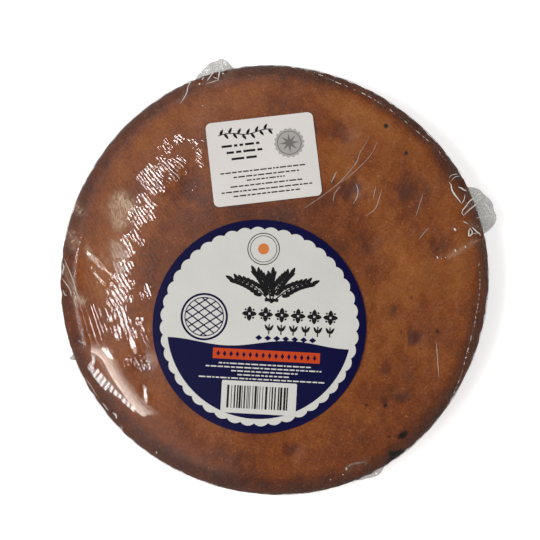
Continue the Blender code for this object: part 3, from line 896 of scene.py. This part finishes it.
def ear_piece(name, *form):
    """A crumpled, milky ear of spare film: an upper and a lower sheet that meet at a rounded edge."""
    upper, lower, share = ear_sheets(*form)
    under = share.size
    index = np.arange(under).reshape(share.shape)
    edge = np.concatenate((index[0, :-1], index[:-1, -1], index[-1, :0:-1], index[:0:-1, 0]))
    after = np.roll(edge, -1)
    sides = np.stack((edge, after, after + under, edge + under), axis=1)
    quads = grid_quads(index)
    faces = as_faces(np.concatenate((np.roll(quads, -1, axis=1), other_side(quads) + under, sides)))
    points = np.concatenate((upper.reshape(-1, 3), lower.reshape(-1, 3)))
    made = mesh_piece("film_ear_" + name, points, faces)
    shade = 0.10 + 0.07 * np.abs(random_field(points, 5.0, 43)) + 0.05 * np.abs(random_field(points, 1.6, 44))
    set_film(made, shade * smooth_step(np.tile(share.ravel(), 2), 0.2, 0.6), 0.15)
    tidy_normals(made)
    return made


def tidy_normals(piece):
    """Turns all faces outward."""
    mesh = bmesh.new()
    mesh.from_mesh(piece.data)
    bmesh.ops.recalc_face_normals(mesh, faces=mesh.faces[:])
    mesh.to_mesh(piece.data)
    mesh.free()


# Creases of the film, each (width in mm, height in mm, how milky it is, pixels of the photograph along it).
# Their milky white is partly the film's own whitening at a fold and partly painted highlights for the glints
# along them. One with a milkiness under 0 is broken into dots.
CREASES = (
    # beside the ear on the right
    (0.75, 0.35, 0.97, ((449, 182), (451, 185), (452, 190), (455, 195), (459, 200), (461, 203))),
    (0.41, 0.30, 0.62, ((461, 204), (464, 200), (465, 194))),
    (0.75, 0.35, 0.97, ((458, 187), (461, 188), (464, 190), (467, 191))),
    (0.41, 0.30, 0.72, ((449, 178), (452, 175), (458, 174))),
    (0.41, 0.30, 0.62, ((451, 181), (455, 177), (460, 176))),
    (0.62, 0.30, 0.97, ((464, 216), (462, 213), (463, 210), (466, 206), (470, 201), (476, 196), (483, 192))),
    (0.62, 0.30, 0.97, ((464, 215), (468, 211), (475, 205), (481, 198))),
    (0.53, 0.25, 0.97, ((484, 202), (488, 208), (493, 214))),
    (0.34, 0.25, 0.82, ((481, 206), (485, 211), (488, 214))),
    (0.53, 0.25, 0.93, ((476, 218), (483, 218), (488, 216), (494, 216))),
    (0.41, 0.25, 0.82, ((475, 191), (476, 193))),
    (0.41, 0.25, 0.82, ((494, 219), (495, 220))),
    (0.41, 0.25, 0.82, ((497, 224), (497, 225))),
    (0.41, 0.25, 0.82, ((493, 227), (494, 227))),
    (0.53, 0.30, 0.93, ((476, 210), (480, 212), (482, 215))),
    (1.20, 0.40, 0.97, ((454, 228), (456, 231))),
    (0.70, 0.35, 0.97, ((470, 228), (469, 231), (469, 236), (472, 234), (472, 231), (470, 228))),
    (0.70, 0.35, 0.97, ((472, 227), (477, 232), (480, 234), (480, 236))),
    (0.41, 0.30, 0.82, ((472, 233), (477, 234))),
    (0.50, 0.25, 0.52, ((463, 221), (468, 224))),
    (0.75, 0.30, 0.97, ((465, 246), (466, 248))),
    (0.70, 0.30, 0.93, ((455, 249), (456, 252))),
    (0.70, 0.30, 0.93, ((437, 256), (438, 259))),
    (0.41, 0.30, 0.82, ((441, 258), (442, 259))),
    (0.41, 0.30, 0.82, ((445, 257), (446, 258))),
    # beside the ear at the top
    (0.48, 0.35, 0.88, ((180, 104), (184, 98), (187, 92), (188, 87), (190, 83), (192, 79))),
    (0.70, 0.35, 0.97, ((207, 81), (210, 77), (214, 72), (218, 66))),
    (0.70, 0.35, 0.97, ((218, 80), (219, 75), (220, 69))),
    (0.41, 0.30, 0.82, ((213, 77), (218, 79))),
    (0.50, 0.25, 0.46, ((206, 84), (212, 82), (219, 80))),
    (0.75, 0.35, 0.93, ((199, 85), (200, 83))),
    (0.75, 0.35, 0.93, ((202, 80), (204, 77))),
    (0.75, 0.35, 0.97, ((223, 74), (223, 73))),
    (0.54, 0.30, 0.88, ((202, 105), (203, 106))),
    # faint creases to the right of the small label
    (0.45, 0.18, 0.26, ((370, 136), (360, 153), (356, 163), (341, 181), (325, 194), (312, 203), (303, 209))),
    (0.45, 0.16, 0.19, ((378, 140), (370, 156), (353, 173), (340, 183))),
    (0.50, 0.22, 0.41, ((337, 171), (331, 183))),
    (0.45, 0.22, 0.36, ((341, 186), (335, 193), (333, 202))),
    (0.50, 0.22, 0.41, ((356, 184), (358, 190), (357, 197), (353, 204))),
    (0.45, 0.20, 0.31, ((376, 186), (373, 199))),
    (0.45, 0.20, 0.31, ((382, 189), (379, 199), (375, 209), (366, 216))),
    (0.45, 0.18, 0.26, ((423, 194), (416, 216))),
    (0.45, 0.18, 0.26, ((429, 227), (419, 239))),
    (0.40, 0.18, 0.31, ((436, 340), (437, 352), (438, 365), (439, 378))),
    # the film's welded edge, round the right of the shoulder, in broken dots of painted highlight
    (0.55, 0.22, -0.60, (
        (300, 69), (318, 74), (336, 82), (353, 89), (370, 97), (396, 114), (419, 133), (436, 148), (447, 162),
    )),
    (0.55, 0.22, -0.50, (
        (479, 262), (480, 282), (478, 304), (474, 326), (467, 353), (460, 378), (450, 401), (439, 416),
    )),
    # the soft fold at the bottom, with a painted highlight along it
    (1.00, 0.25, 0.10, ((345, 469), (350, 465), (357, 463), (366, 462))),
    (0.75, 0.35, 0.97, ((346, 470), (347, 468))),
    (0.70, 0.35, 0.93, ((343, 474), (343, 475))),
    (0.54, 0.35, 0.82, ((330, 479), (331, 480))),
    # the pocket at the left, above the folds
    (0.54, 0.35, 0.82, ((62, 262), (64, 267), (63, 271), (63, 275))),
    (0.41, 0.30, 0.77, ((64, 258), (69, 270), (74, 283), (78, 297), (82, 302))),
    (0.41, 0.30, 0.62, ((62, 278), (69, 288), (72, 297))),
    (0.60, 0.25, 0.52, ((63, 290), (65, 295), (67, 295))),
    # glints along the lower left of the rim
    (0.27, 0.20, 0.82, ((85, 378), (91, 387), (97, 397))),
    (0.57, 0.25, 0.97, ((102, 403), (105, 407), (108, 411))),
    (1.20, 0.30, 0.97, ((112, 413), (115, 415), (116, 419))),
    (0.34, 0.25, 0.82, ((121, 426), (122, 429))),
    (0.70, 0.30, 0.97, ((156, 452), (156, 454))),
)


def strip(line, width, height):
    """A closed raised strip along points of the film, in millimetres: its points and faces."""
    section = ((-1.0, -0.08), (-0.75, 0.55), (0.0, 1.0), (0.75, 0.55), (1.0, -0.08), (0.0, -0.25))
    run = np.gradient(line, axis=0)
    run /= np.linalg.norm(run, axis=1)[:, None]
    step = 0.3
    x, y = line[:, 0], line[:, 1]
    east = (film_height(x + step, y) - film_height(x - step, y)) / (2 * step)
    north = (film_height(x, y + step) - film_height(x, y - step)) / (2 * step)
    normal = np.stack((-east, -north, np.ones(len(line))), axis=1)
    normal /= np.linalg.norm(normal, axis=1)[:, None]
    across = np.cross(run, normal)
    across /= np.linalg.norm(across, axis=1)[:, None]
    swell = (0.12 + 0.88 * np.sin(math.pi * np.linspace(0.0, 1.0, len(line))) ** 0.6)[:, None]
    rings = [line + (across * side * width / 2 + normal * lift * height) * swell for side, lift in section]
    count = len(section)
    index = np.arange(len(line) * count).reshape(len(line), count)
    following = np.roll(index, -1, axis=1)
    quads = np.stack((index[:-1], following[:-1], following[1:], index[1:]), axis=2).reshape(-1, 4)
    faces = as_faces(quads) + as_faces([index[0], index[-1, ::-1]])
    return np.stack(rings, axis=1).reshape(-1, 3), faces


def smooth_path(pixels, ears, spacing=0.45):
    """A smooth line through pixels of the photograph, cast onto the film and its ears, in even steps."""
    knots = np.array([from_photo(*pixel)[:2] for pixel in pixels])
    if len(knots) == 2:
        knots = np.stack((knots[0], knots.mean(axis=0), knots[1]))
    ends = np.concatenate((2 * knots[:1] - knots[1:2], knots, 2 * knots[-1:] - knots[-2:-1]))
    dense = []
    for a, b, c, d in zip(ends, ends[1:], ends[2:], ends[3:]):
        steps = max(2, int(np.linalg.norm(c - b) / spacing))
        for t in np.arange(steps) / steps:
            bend = (2 * a - 5 * b + 4 * c - d) * t**2 + (3 * b - a - 3 * c + d) * t**3
            dense.append(0.5 * (2 * b + (c - a) * t + bend))
    dense.append(knots[-1])
    line = np.array(dense)
    level = film_height(*line.T) + film_step(*line.T) - film_chamfer(*line.T)
    for number, (x, y) in enumerate(line):
        for ear in ears:
            hit = ear.ray_cast(Vector((x, y, 50.0)) * MM, Vector((0.0, 0.0, -1.0)))[0]
            if hit:
                level[number] = max(level[number], hit.z / MM)
    return np.column_stack((line, level))


def crease_piece(ears):
    """All the raised creases of the film, over the cake and its ears, as one piece; their milky white is partly
    painted highlight.
    """
    trees = []
    for ear in ears:
        spots = [vertex.co for vertex in ear.data.vertices]
        sides = [tuple(face.vertices) for face in ear.data.polygons]
        trees.append(bvhtree.BVHTree.FromPolygons(spots, sides))
    points, faces, milk_and_sheen = [], [], []
    start = 0
    for width, height, milky_sheen, pixels in CREASES:
        verts, quads = strip(smooth_path(pixels, trees), width, height)
        points.append(verts)
        faces += [tuple(start + corner for corner in face) for face in quads]
        # milky dots and streaks stand in for glints along the creases: painted highlights
        sparkle = random_field(verts, 1.8 if milky_sheen < 0.0 else 5.0, 45)
        broken = smooth_step(sparkle, 0.2, 0.9) if milky_sheen < 0.0 else 1.0 + 0.15 * sparkle
        milk_and_sheen.append(np.clip(abs(milky_sheen) * broken, 0.0, 0.97))
        start += len(verts)
    made = mesh_piece("film_creases", np.concatenate(points), faces)
    set_film(made, np.concatenate(milk_and_sheen), 0.0)
    tidy_normals(made)
    return made


# The labels


def label_place(at, turn):
    """Turns a label's own coordinates, in mm, into places on the cake."""

    def place(u, v):
        east, north = turned(u, v, turn)
        return at[0] + east, at[1] + north

    return place


ON_ROUND = label_place(ROUND_AT, ROUND_TURN)
ON_SMALL = label_place(SMALL_AT, SMALL_TURN)


def even_angles(count):
    """So many angles evenly round a circle."""
    return np.linspace(0.0, 2.0 * math.pi, count, endpoint=False)


def disc(u, v, reach, count=28, first=0.0):
    """A round outline of so many points. reach is its radius, or a radius for each point."""
    angles = even_angles(count) + first
    return list(zip(u + reach * np.cos(angles), v + reach * np.sin(angles)))


def rounded_box(width, height, corner, centre=(0.0, 0.0), arc=6):
    """A box with rounded corners."""
    half_u, half_v = width / 2 - corner, height / 2 - corner
    points = []
    for quarter, (side_u, side_v) in enumerate(((1, 1), (-1, 1), (-1, -1), (1, -1))):
        at_u, at_v = centre[0] + side_u * half_u, centre[1] + side_v * half_v
        for step in range(arc + 1):
            a = math.pi / 2 * (quarter + step / arc)
            points.append((at_u + corner * math.cos(a), at_v + corner * math.sin(a)))
    return points


def cut_shape(shapes, cell):
    """Flat shapes cut into small faces that can follow the film: places, faces turned up, and outer edges."""
    mesh = bmesh.new()
    for shape in shapes:
        mesh.faces.new([mesh.verts.new((u, v, 0.0)) for u, v in shape])
    values = [value for shape in shapes for point in shape for value in point]
    mesh.normal_update()
    bmesh.ops.triangulate(mesh, faces=mesh.faces[:], ngon_method="EAR_CLIP")
    for normal in ((1.0, 0.0, 0.0), (0.0, 1.0, 0.0)):
        for line in range(math.ceil(min(values) / cell), math.floor(max(values) / cell) + 1):
            everything = mesh.verts[:] + mesh.edges[:] + mesh.faces[:]
            place = [line * cell * share for share in normal]
            bmesh.ops.bisect_plane(mesh, geom=everything, plane_co=place, plane_no=normal)
    mesh.normal_update()
    for face in mesh.faces:
        if face.normal.z < 0.0:
            face.normal_flip()
    mesh.verts.index_update()
    flat = np.array([vert.co[:2] for vert in mesh.verts])
    faces = [tuple(vert.index for vert in face.verts) for face in mesh.faces]
    rim = [tuple(vert.index for vert in edge.verts) for edge in mesh.edges if len(edge.link_faces) == 1]
    mesh.free()
    return flat, faces, rim


def printed(name, shapes, place, layer, material):
    """Ink on a label: flat shapes laid on the paper, one thin layer over another."""
    flat, faces, _ = cut_shape(shapes, INK_CELL)
    x, y = place(*flat.T)
    level = film_height(x, y) + LABEL_TOP + INK_STEP * layer
    made = mesh_piece(name, np.column_stack((x, y, level)), faces)
    made.data.materials.append(material)
    return made


def label_sheet(name, outline, place, material):
    """The label's paper: a thin closed sheet that follows the film."""
    flat, upper, rim = cut_shape([outline], PAPER_CELL)
    x, y = place(*flat.T)
    level = film_height(x, y)
    points = np.concatenate([np.column_stack((x, y, level + lift)) for lift in (LABEL_TOP, LABEL_UNDER)])
    count = len(flat)
    faces = upper + [tuple(count + corner for corner in reversed(face)) for face in upper]
    faces += [(a, b, count + b, count + a) for a, b in rim]
    made = mesh_piece(name, points, faces)
    tidy_normals(made)
    made.data.set_sharp_from_angle(angle=SHARP_ANGLE)
    made.data.materials.append(material)
    return made


def grain_shape(u, v, length, width, lean):
    """A pointed grain or leaf, lying at this angle in degrees."""
    t = even_angles(14)
    across = width / 2 * np.sin(t) * (1.0 - 0.35 * np.cos(t))
    east, north = turned(length / 2 * np.cos(t), across, lean)
    return list(zip(u + east, v + north))


def stroke(points, width, closed=False):
    """A line of this width through the points, as one or more flat quads."""
    line = [Vector(p) for p in points]
    if closed:
        line.append(line[0])
    sides = []
    for i, here in enumerate(line):
        before = line[i - 1] if i else (line[-2] if closed else here)
        after = line[i + 1] if i + 1 < len(line) else (line[1] if closed else here)
        run = (after - before).normalized()
        side = Vector((-run.y, run.x)) * width / 2
        sides.append((here + side, here - side))
    return [[tuple(a), tuple(b), tuple(d), tuple(c)] for (a, b), (c, d) in zip(sides, sides[1:])]


def wheat_ear(u, v, length, lean, size=1.0):
    """An ear of wheat: a bent stalk and paired grains, from its foot at (u, v)."""
    ahead, side = Vector(turned(1.0, 0.0, lean)), Vector(turned(0.0, 1.0, lean))
    bend = 0.10 if ahead.x > 0.0 else -0.10

    def along(share):
        return Vector((u, v)) + length * (ahead * share + side * bend * math.sin(math.pi * share))

    shapes = stroke([tuple(along(share)) for share in np.linspace(0.0, 0.92, 14)], 0.85 * size)
    for number in range(7):
        for hand in (-1.0, 1.0):
            spot = along(0.33 + 0.093 * number) + side * hand * 2.5 * size * (1.0 - 0.06 * number)
            shapes.append(grain_shape(*spot, 5.6 * size, 2.5 * size, lean + hand * 24.0))
    shapes.append(grain_shape(*along(1.0), 5.6 * size, 2.5 * size, lean))
    return shapes


def lozenge(u, v, width, height):
    """A lozenge standing on its point."""
    return [(u + width / 2, v), (u, v + height / 2), (u - width / 2, v), (u, v - height / 2)]


def ring(u, v, radius, width):
    """A plain ring."""
    return stroke(disc(u, v, radius, 48), width, closed=True)


def dash_line(u_from, u_to, v, height, seed):
    """A row of plain dashes of uneven length, in place of fine print."""
    draw = np.random.default_rng(seed)
    shapes, u = [], u_from
    while u < u_to:
        wide = min(height * draw.uniform(1.4, 5.5), u_to - u)
        if wide > height * 0.8:
            shapes.append([(u, v), (u + wide, v), (u + wide, v + height), (u, v + height)])
        u += wide + height * 0.9
    return shapes


def quatrefoil(u, v, size):
    """Four petals round a small diamond."""
    shapes = []
    for lean in (0.0, 180.0, 90.0, 270.0):
        east, north = turned(size * 0.29, 0.0, lean)
        shapes.append(grain_shape(u + east, v + north, size * 0.46, size * 0.34, lean))
    for east, north in ((1, 1), (-1, 1), (-1, -1), (1, -1)):
        shapes.append(disc(u + east * size * 0.28, v + north * size * 0.28, size * 0.075, 12))
    return shapes


def leaf_sprig(u, v, height):
    """A sprig of two leaves on a stalk."""
    shapes = stroke([(u, v - height / 2), (u, v + height * 0.42)], height * 0.12)
    for hand, lean in ((1, 58.0), (-1, 122.0)):
        at_u, at_v = u + hand * height * 0.22, v + height * 0.10
        shapes.append(grain_shape(at_u, at_v, height * 0.62, height * 0.24, lean))
    return shapes


def scalloped_field(radius, count, depth):
    """The outline of the white field, edged with scallops."""
    scallops = np.abs(np.sin(count * even_angles(count * 9) / 2.0)) ** 0.8
    return disc(0.0, 0.0, radius + depth * scallops, count * 9)


def navy_foot(radius):
    """The outline of the navy foot of the label: a wavy top and a round bottom."""
    wave = [(u, -8.0 + 1.5 * math.sin(u / 9.0) + 0.02 * u) for u in np.linspace(-42.4, 42.4, 60)]
    first = math.atan2(wave[0][1], wave[0][0])
    last = math.atan2(wave[-1][1], wave[-1][0])
    arc = [(radius * math.cos(angle), radius * math.sin(angle)) for angle in np.linspace(last, first, 90)]
    return wave + arc


def bar_shapes():
    """Plain bars of uneven width."""
    draw = np.random.default_rng(5)
    bars, u = [], BARS_LEFT
    while u < BARS_RIGHT:
        wide = BAR_UNIT * int(draw.integers(1, 4))
        bars.append([(u, BARS_FOOT), (u + wide, BARS_FOOT), (u + wide, BARS_TOP), (u, BARS_TOP)])
        u += wide + BAR_UNIT * int(draw.integers(1, 4))
    return bars


def black_marks():
    """The round label's black print: a sheaf of wheat, a double ring, and rows of quatrefoils and sprigs."""
    shapes = []
    for lean, length in ((0, 15.0), (31, 18.0), (-31, 18.0), (62, 23.0), (-62, 23.0)):
        shapes += wheat_ear(*WHEAT_AT, length, 90.0 - lean, 0.72)
    shapes += stroke([(1.8, 12.4), (8.2, 12.4)], 1.5)
    shapes += ring(*RINGS_AT, 7.4, 0.4) + ring(*RINGS_AT, 6.2, 0.3)
    for step in range(6):
        shapes += quatrefoil(-5.0 + 7.6 * step, 5.6, 6.6)
    for step in range(6):
        shapes += leaf_sprig(4.5 + 5.7 * step, -1.0, 5.2)
    return shapes


def navy_marks():
    """The round label's navy print on white: a row of lozenges, and a trellis in a double ring."""
    shapes = [lozenge(u, -5.4, 3.4, 2.6) for u in np.arange(0.0, 27.0, 4.2)]
    shapes += ring(*TRELLIS_AT, 10.6, 1.0) + ring(*TRELLIS_AT, 9.0, 0.45)
    for step in (-2, -1, 0, 1, 2):
        half = math.sqrt(8.9**2 - (TRELLIS_STEP * step) ** 2)
        for lean in (35.0, -35.0):
            middle = Vector(TRELLIS_AT) + Vector(turned(0.0, TRELLIS_STEP * step, lean))
            run = Vector(turned(half, 0.0, lean))
            shapes += stroke([tuple(middle - run), tuple(middle), tuple(middle + run)], 0.6)
    return shapes


def fine_print(rows, height, seed):
    """Rows of dashes, each (left end, right end, foot)."""
    shapes = []
    for number, row in enumerate(rows):
        shapes += dash_line(*row, height, seed + number)
    return shapes


def round_label_pieces(paper, inks):
    """The round label: navy rim, scalloped white field, and navy foot with an orange band and a panel."""
    pieces = [label_sheet("round_label_sheet", disc(0.0, 0.0, ROUND_RADIUS, 180), ON_ROUND, paper)]

    def ink(name, shapes, layer, colour):
        pieces.append(printed("round_label_" + name, shapes, ON_ROUND, layer, inks[colour]))

    ink("rim", [disc(0.0, 0.0, ROUND_RADIUS, 180)], 1, "navy")
    ink("field", [scalloped_field(45.3, 44, 1.3)], 2, "white")
    ink("foot", [navy_foot(43.2)], 3, "navy")
    ink("panel", [rounded_box(35.0, 15.0, 0.6, (1.5, -33.4), arc=2)], 4, "white")
    ink("band", [rounded_box(50.0, 4.9, 0.1, (4.0, -13.6), arc=1)], 4, "orange")
    ink("bars", bar_shapes(), 5, "black")
    ink("band_marks", [lozenge(-18.5 + 3.0 * step, -13.6, 1.7, 2.8) for step in range(16)], 5, "navy")
    ends = ((-18.0, 25.0), (-24.0, 31.0), (-12.0, 19.0), (-9.0, 15.0), (-27.0, 32.0))
    rows = [(left, right, -18.3 - 1.7 * row) for row, (left, right) in enumerate(ends)]
    ink("fine_print", fine_print(rows, 0.6, 60), 4, "white")
    ink("black", black_marks(), 3, "black")
    ink("navy_marks", navy_marks(), 3, "navy")
    ink("sun", [disc(*RINGS_AT, 2.6)], 3, "amber")
    return pieces


def flourish(u):
    """The height of the small label's wavy stalk."""
    return FLOURISH_AT + 0.7 * math.sin(9.0 * (u + 20.0) / 26.0)


def small_label_pieces(paper, inks):
    """The small label: white paper with a grey seal, a flourish and lines of fine print."""
    pieces = [label_sheet("small_label_sheet", rounded_box(*SMALL_SIZE, SMALL_CORNER), ON_SMALL, paper)]
    seal = disc(*SEAL_AT, 6.9 + 0.35 * np.cos(18.0 * even_angles(144)), 144)
    pieces.append(printed("small_label_seal", [seal], ON_SMALL, 1, inks["grey"]))
    star = disc(*SEAL_AT, np.array([4.7, 1.7] * 8), 16, math.pi / 2)
    marks = [star] + ring(*SEAL_AT, 5.6, 0.4)
    pieces.append(printed("small_label_star", marks, ON_SMALL, 2, inks["dark_grey"]))
    black = stroke([(u, flourish(u)) for u in np.linspace(-20.0, 6.0, 40)], 0.45)
    for step in range(12):
        u = -18.8 + 2.1 * step
        side = 1.0 if step % 2 == 0 else -1.0
        black.append(grain_shape(u + 0.5, flourish(u) + side * 1.35, 3.0, 1.25, side * 58.0))
    black += fine_print(((-19.0, -1.0, 7.6), (-17.0, 0.0, 4.4), (-15.0, -3.0, 1.2)), 1.1, 80)
    rows = ((-21.0, 20.0, -5.0), (-15.0, 16.0, -7.4), (-9.0, 9.0, -9.4))
    rows += ((-17.0, 17.0, -11.8), (-21.5, 21.5, -14.2), (-16.0, 16.0, -16.4))
    black += fine_print(rows, 0.62, 90)
    pieces.append(printed("small_label_print", black, ON_SMALL, 1, inks["black"]))
    return pieces


# The camera, the lights and the floor


def add_camera():
    """The photograph's viewpoint."""
    data = bpy.data.cameras.new("camera")
    data.lens, data.sensor_width = CAMERA_LENS, CAMERA_SENSOR
    data.clip_start, data.clip_end = 0.01, 10.0
    camera = bpy.data.objects.new("camera", data)
    back = Vector((0.0, -math.cos(CAMERA_ELEVATION), math.sin(CAMERA_ELEVATION)))
    camera.location = (Vector(CAMERA_AIM) + back * CAMERA_DISTANCE) * MM
    camera.rotation_mode = "QUATERNION"
    camera.rotation_quaternion = (-back).to_track_quat("-Z", "Y")
    bpy.context.scene.collection.objects.link(camera)
    bpy.context.scene.camera = camera


def area_light(
    name, heading, tilt, distance, size, radiance, colour=(1.0, 1.0, 1.0), slide=(0.0, 0.0), roll=0.0,
    glossy=True,
):
    """A soft light at this heading and tilt from overhead, in degrees, aimed at the cake.

    slide moves it in its own plane, and roll turns it there.
    """
    data = bpy.data.lights.new(name, "AREA")
    data.shape, data.size, data.size_y = "RECTANGLE", size[0], size[1]
    data.energy = radiance * math.pi * size[0] * size[1]
    data.color = colour
    light = bpy.data.objects.new(name, data)
    a, t = math.radians(heading), math.radians(tilt)
    back = Vector((math.sin(t) * math.cos(a), math.sin(t) * math.sin(a), math.cos(t)))
    light.rotation_mode = "QUATERNION"
    light.rotation_quaternion = (-back).to_track_quat("-Z", "Y")
    offset = light.rotation_quaternion @ Vector((slide[0], slide[1], 0.0))
    light.location = back * distance + offset
    light.rotation_quaternion = light.rotation_quaternion @ Quaternion((0.0, 0.0, 1.0), roll)
    light.visible_camera = False
    light.visible_glossy = glossy
    bpy.context.scene.collection.objects.link(light)


def add_stage():
    """A plain pale floor, soft studio light from the left, and a dim even surround."""
    sides = ((-1, -1), (1, -1), (1, 1), (-1, 1))
    corners = [(east * FLOOR_REACH, north * FLOOR_REACH, 0.0) for east, north in sides]
    floor = mesh_piece("floor", corners, [(0, 1, 2, 3)])
    material, nodes = new_material("pale_floor")
    nodes.shader.inputs["Base Color"].default_value = (0.93, 0.93, 0.93, 1.0)
    nodes.shader.inputs["Roughness"].default_value = 0.9
    nodes.shader.inputs["Emission Color"].default_value = (1.0, 1.0, 1.0, 1.0)
    nodes.shader.inputs["Emission Strength"].default_value = 0.5
    floor.data.materials.append(material)
    floor.location.z = -FLOOR_GAP
    floor.visible_glossy = False
    area_light("skylight_left", *SKYLIGHT, SKYLIGHT_SIZE, SKYLIGHT_RADIANCE, (0.98, 0.985, 1.0))
    add_window()
    area_light("fill_right", 20.0, 38.0, 1.2, (0.8, 0.8), 2.2, glossy=False)
    add_surround()
    scene = bpy.context.scene
    scene.view_settings.view_transform = "Standard"
    scene.view_settings.look = "None"


def add_window():
    """The window that the stretched film mirrors at the lower left: cream slats over a row of bright bars."""
    lean = math.atan(SLANT)
    cream = (1.0, 0.91, 0.82)
    for column in range(13):
        side = COLUMN_PITCH * (column - 6)
        for row, radiance in enumerate((1.2, 3.0, 6.0, 9.0, 12.0)):
            down = SLAT_SIZE[1] * (row - 2)
            slide = (side + SLANT * down, -down)
            area_light(f"slat_{column}_{row}", *SLATS_AT, SLAT_SIZE, radiance, cream, slide, lean)
        slide = (side, BAR_RISE * side)
        area_light(f"bar_{column}", *BARS_AT, BAR_SIZE, 16.0, slide=slide, roll=lean)
    area_light("window_frame", *FRAME_AT, (0.34, 0.10), 1.1)


def add_surround():
    """A dim surround, brighter to the upper left, where the photograph's film reflects it."""
    world = bpy.data.worlds.new("surround")
    bpy.context.scene.world = world
    world.use_nodes = True
    tree = world.node_tree
    direction = tree.nodes.new("ShaderNodeTexCoord").outputs["Generated"]
    left_glow = surround_term(tree, direction, (-1.0, 0.3, 0.0), (-0.10, 0.34, 0.03, 0.55))
    overhead = surround_term(tree, direction, (0.0, 0.0, 1.0), (0.35, 0.85, 0.30, 1.0))
    horizon = surround_term(tree, direction, (0.0, 0.0, 1.0), (0.30, 0.85, 0.12, 0.03))
    glow = tree.nodes.new("ShaderNodeMath")
    glow.operation = "MULTIPLY_ADD"
    for number, source in enumerate((left_glow, overhead, horizon)):
        tree.links.new(source, glow.inputs[number])
    tree.links.new(glow.outputs[0], tree.nodes["Background"].inputs["Strength"])
    tree.nodes["Background"].inputs["Color"].default_value = (1.0, 0.97, 0.96, 1.0)


def surround_term(tree, direction, toward, ranges):
    """A number that turns smoothly from one value to another with the direction looked in."""
    dot = tree.nodes.new("ShaderNodeVectorMath")
    dot.operation = "DOT_PRODUCT"
    dot.inputs[1].default_value = toward
    tree.links.new(direction, dot.inputs[0])
    ramp = tree.nodes.new("ShaderNodeMapRange")
    ramp.interpolation_type = "SMOOTHSTEP"
    for name, value in zip(("From Min", "From Max", "To Min", "To Max"), ranges):
        ramp.inputs[name].default_value = value
    tree.links.new(dot.outputs["Value"], ramp.inputs["Value"])
    return ramp.outputs["Result"]


def main():
    # the clear film's peach-white milk is the colour of the painted reflections it carries
    film = film_material("clear_film", (0.985, 0.985, 0.985), (0.98, 0.76, 0.54))
    cloudy = film_material("cloudy_film", (0.70, 0.70, 0.69), (0.94, 0.94, 0.93))
    # the creases' milky white is partly painted highlight
    creased = film_material("creased_film_painted_glints", (0.985, 0.985, 0.985), (0.98, 0.97, 0.95))

    crust = crust_piece()
    crust.data.materials.append(crust_material())
    wrap = film_piece()
    wrap.data.materials.append(film)
    ripples = [rippled_piece(name, *sector) for name, sector in RIPPLED_SECTORS.items()]
    for piece in ripples:
        piece.data.materials.append(film)
    for piece in (crust, wrap):
        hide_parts("wrapped_cake")
    ears = [ear_piece(name, *ear) for name, ear in EARS.items()]
    creases = crease_piece(ears)
    creases.data.materials.append(creased)
    for piece in ears:
        piece.data.materials.append(cloudy)
    for piece in [crust, wrap, creases] + ripples + ears:
        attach(piece, "root")

    colours = {
        "navy": (7, 7, 58),
        "white": (213, 213, 208),
        "black": (24, 24, 26),
        "orange": (198, 70, 27),
        "amber": (214, 126, 66),
        "grey": (172, 170, 166),
        "dark_grey": (118, 116, 114),
    }
    inks = {name: paper_material(name + "_ink", colour) for name, colour in colours.items()}
    round_pieces = round_label_pieces(inks["white"], inks)
    small_paper = paper_material("small_label_paper", (224, 221, 217))
    small_pieces = small_label_pieces(small_paper, inks)
    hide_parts("round_label")
    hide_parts("small_label")
    for piece in round_pieces:
        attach(piece, "root")
    for piece in small_pieces:
        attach(piece, "root")

    add_camera()
    add_stage()


main()
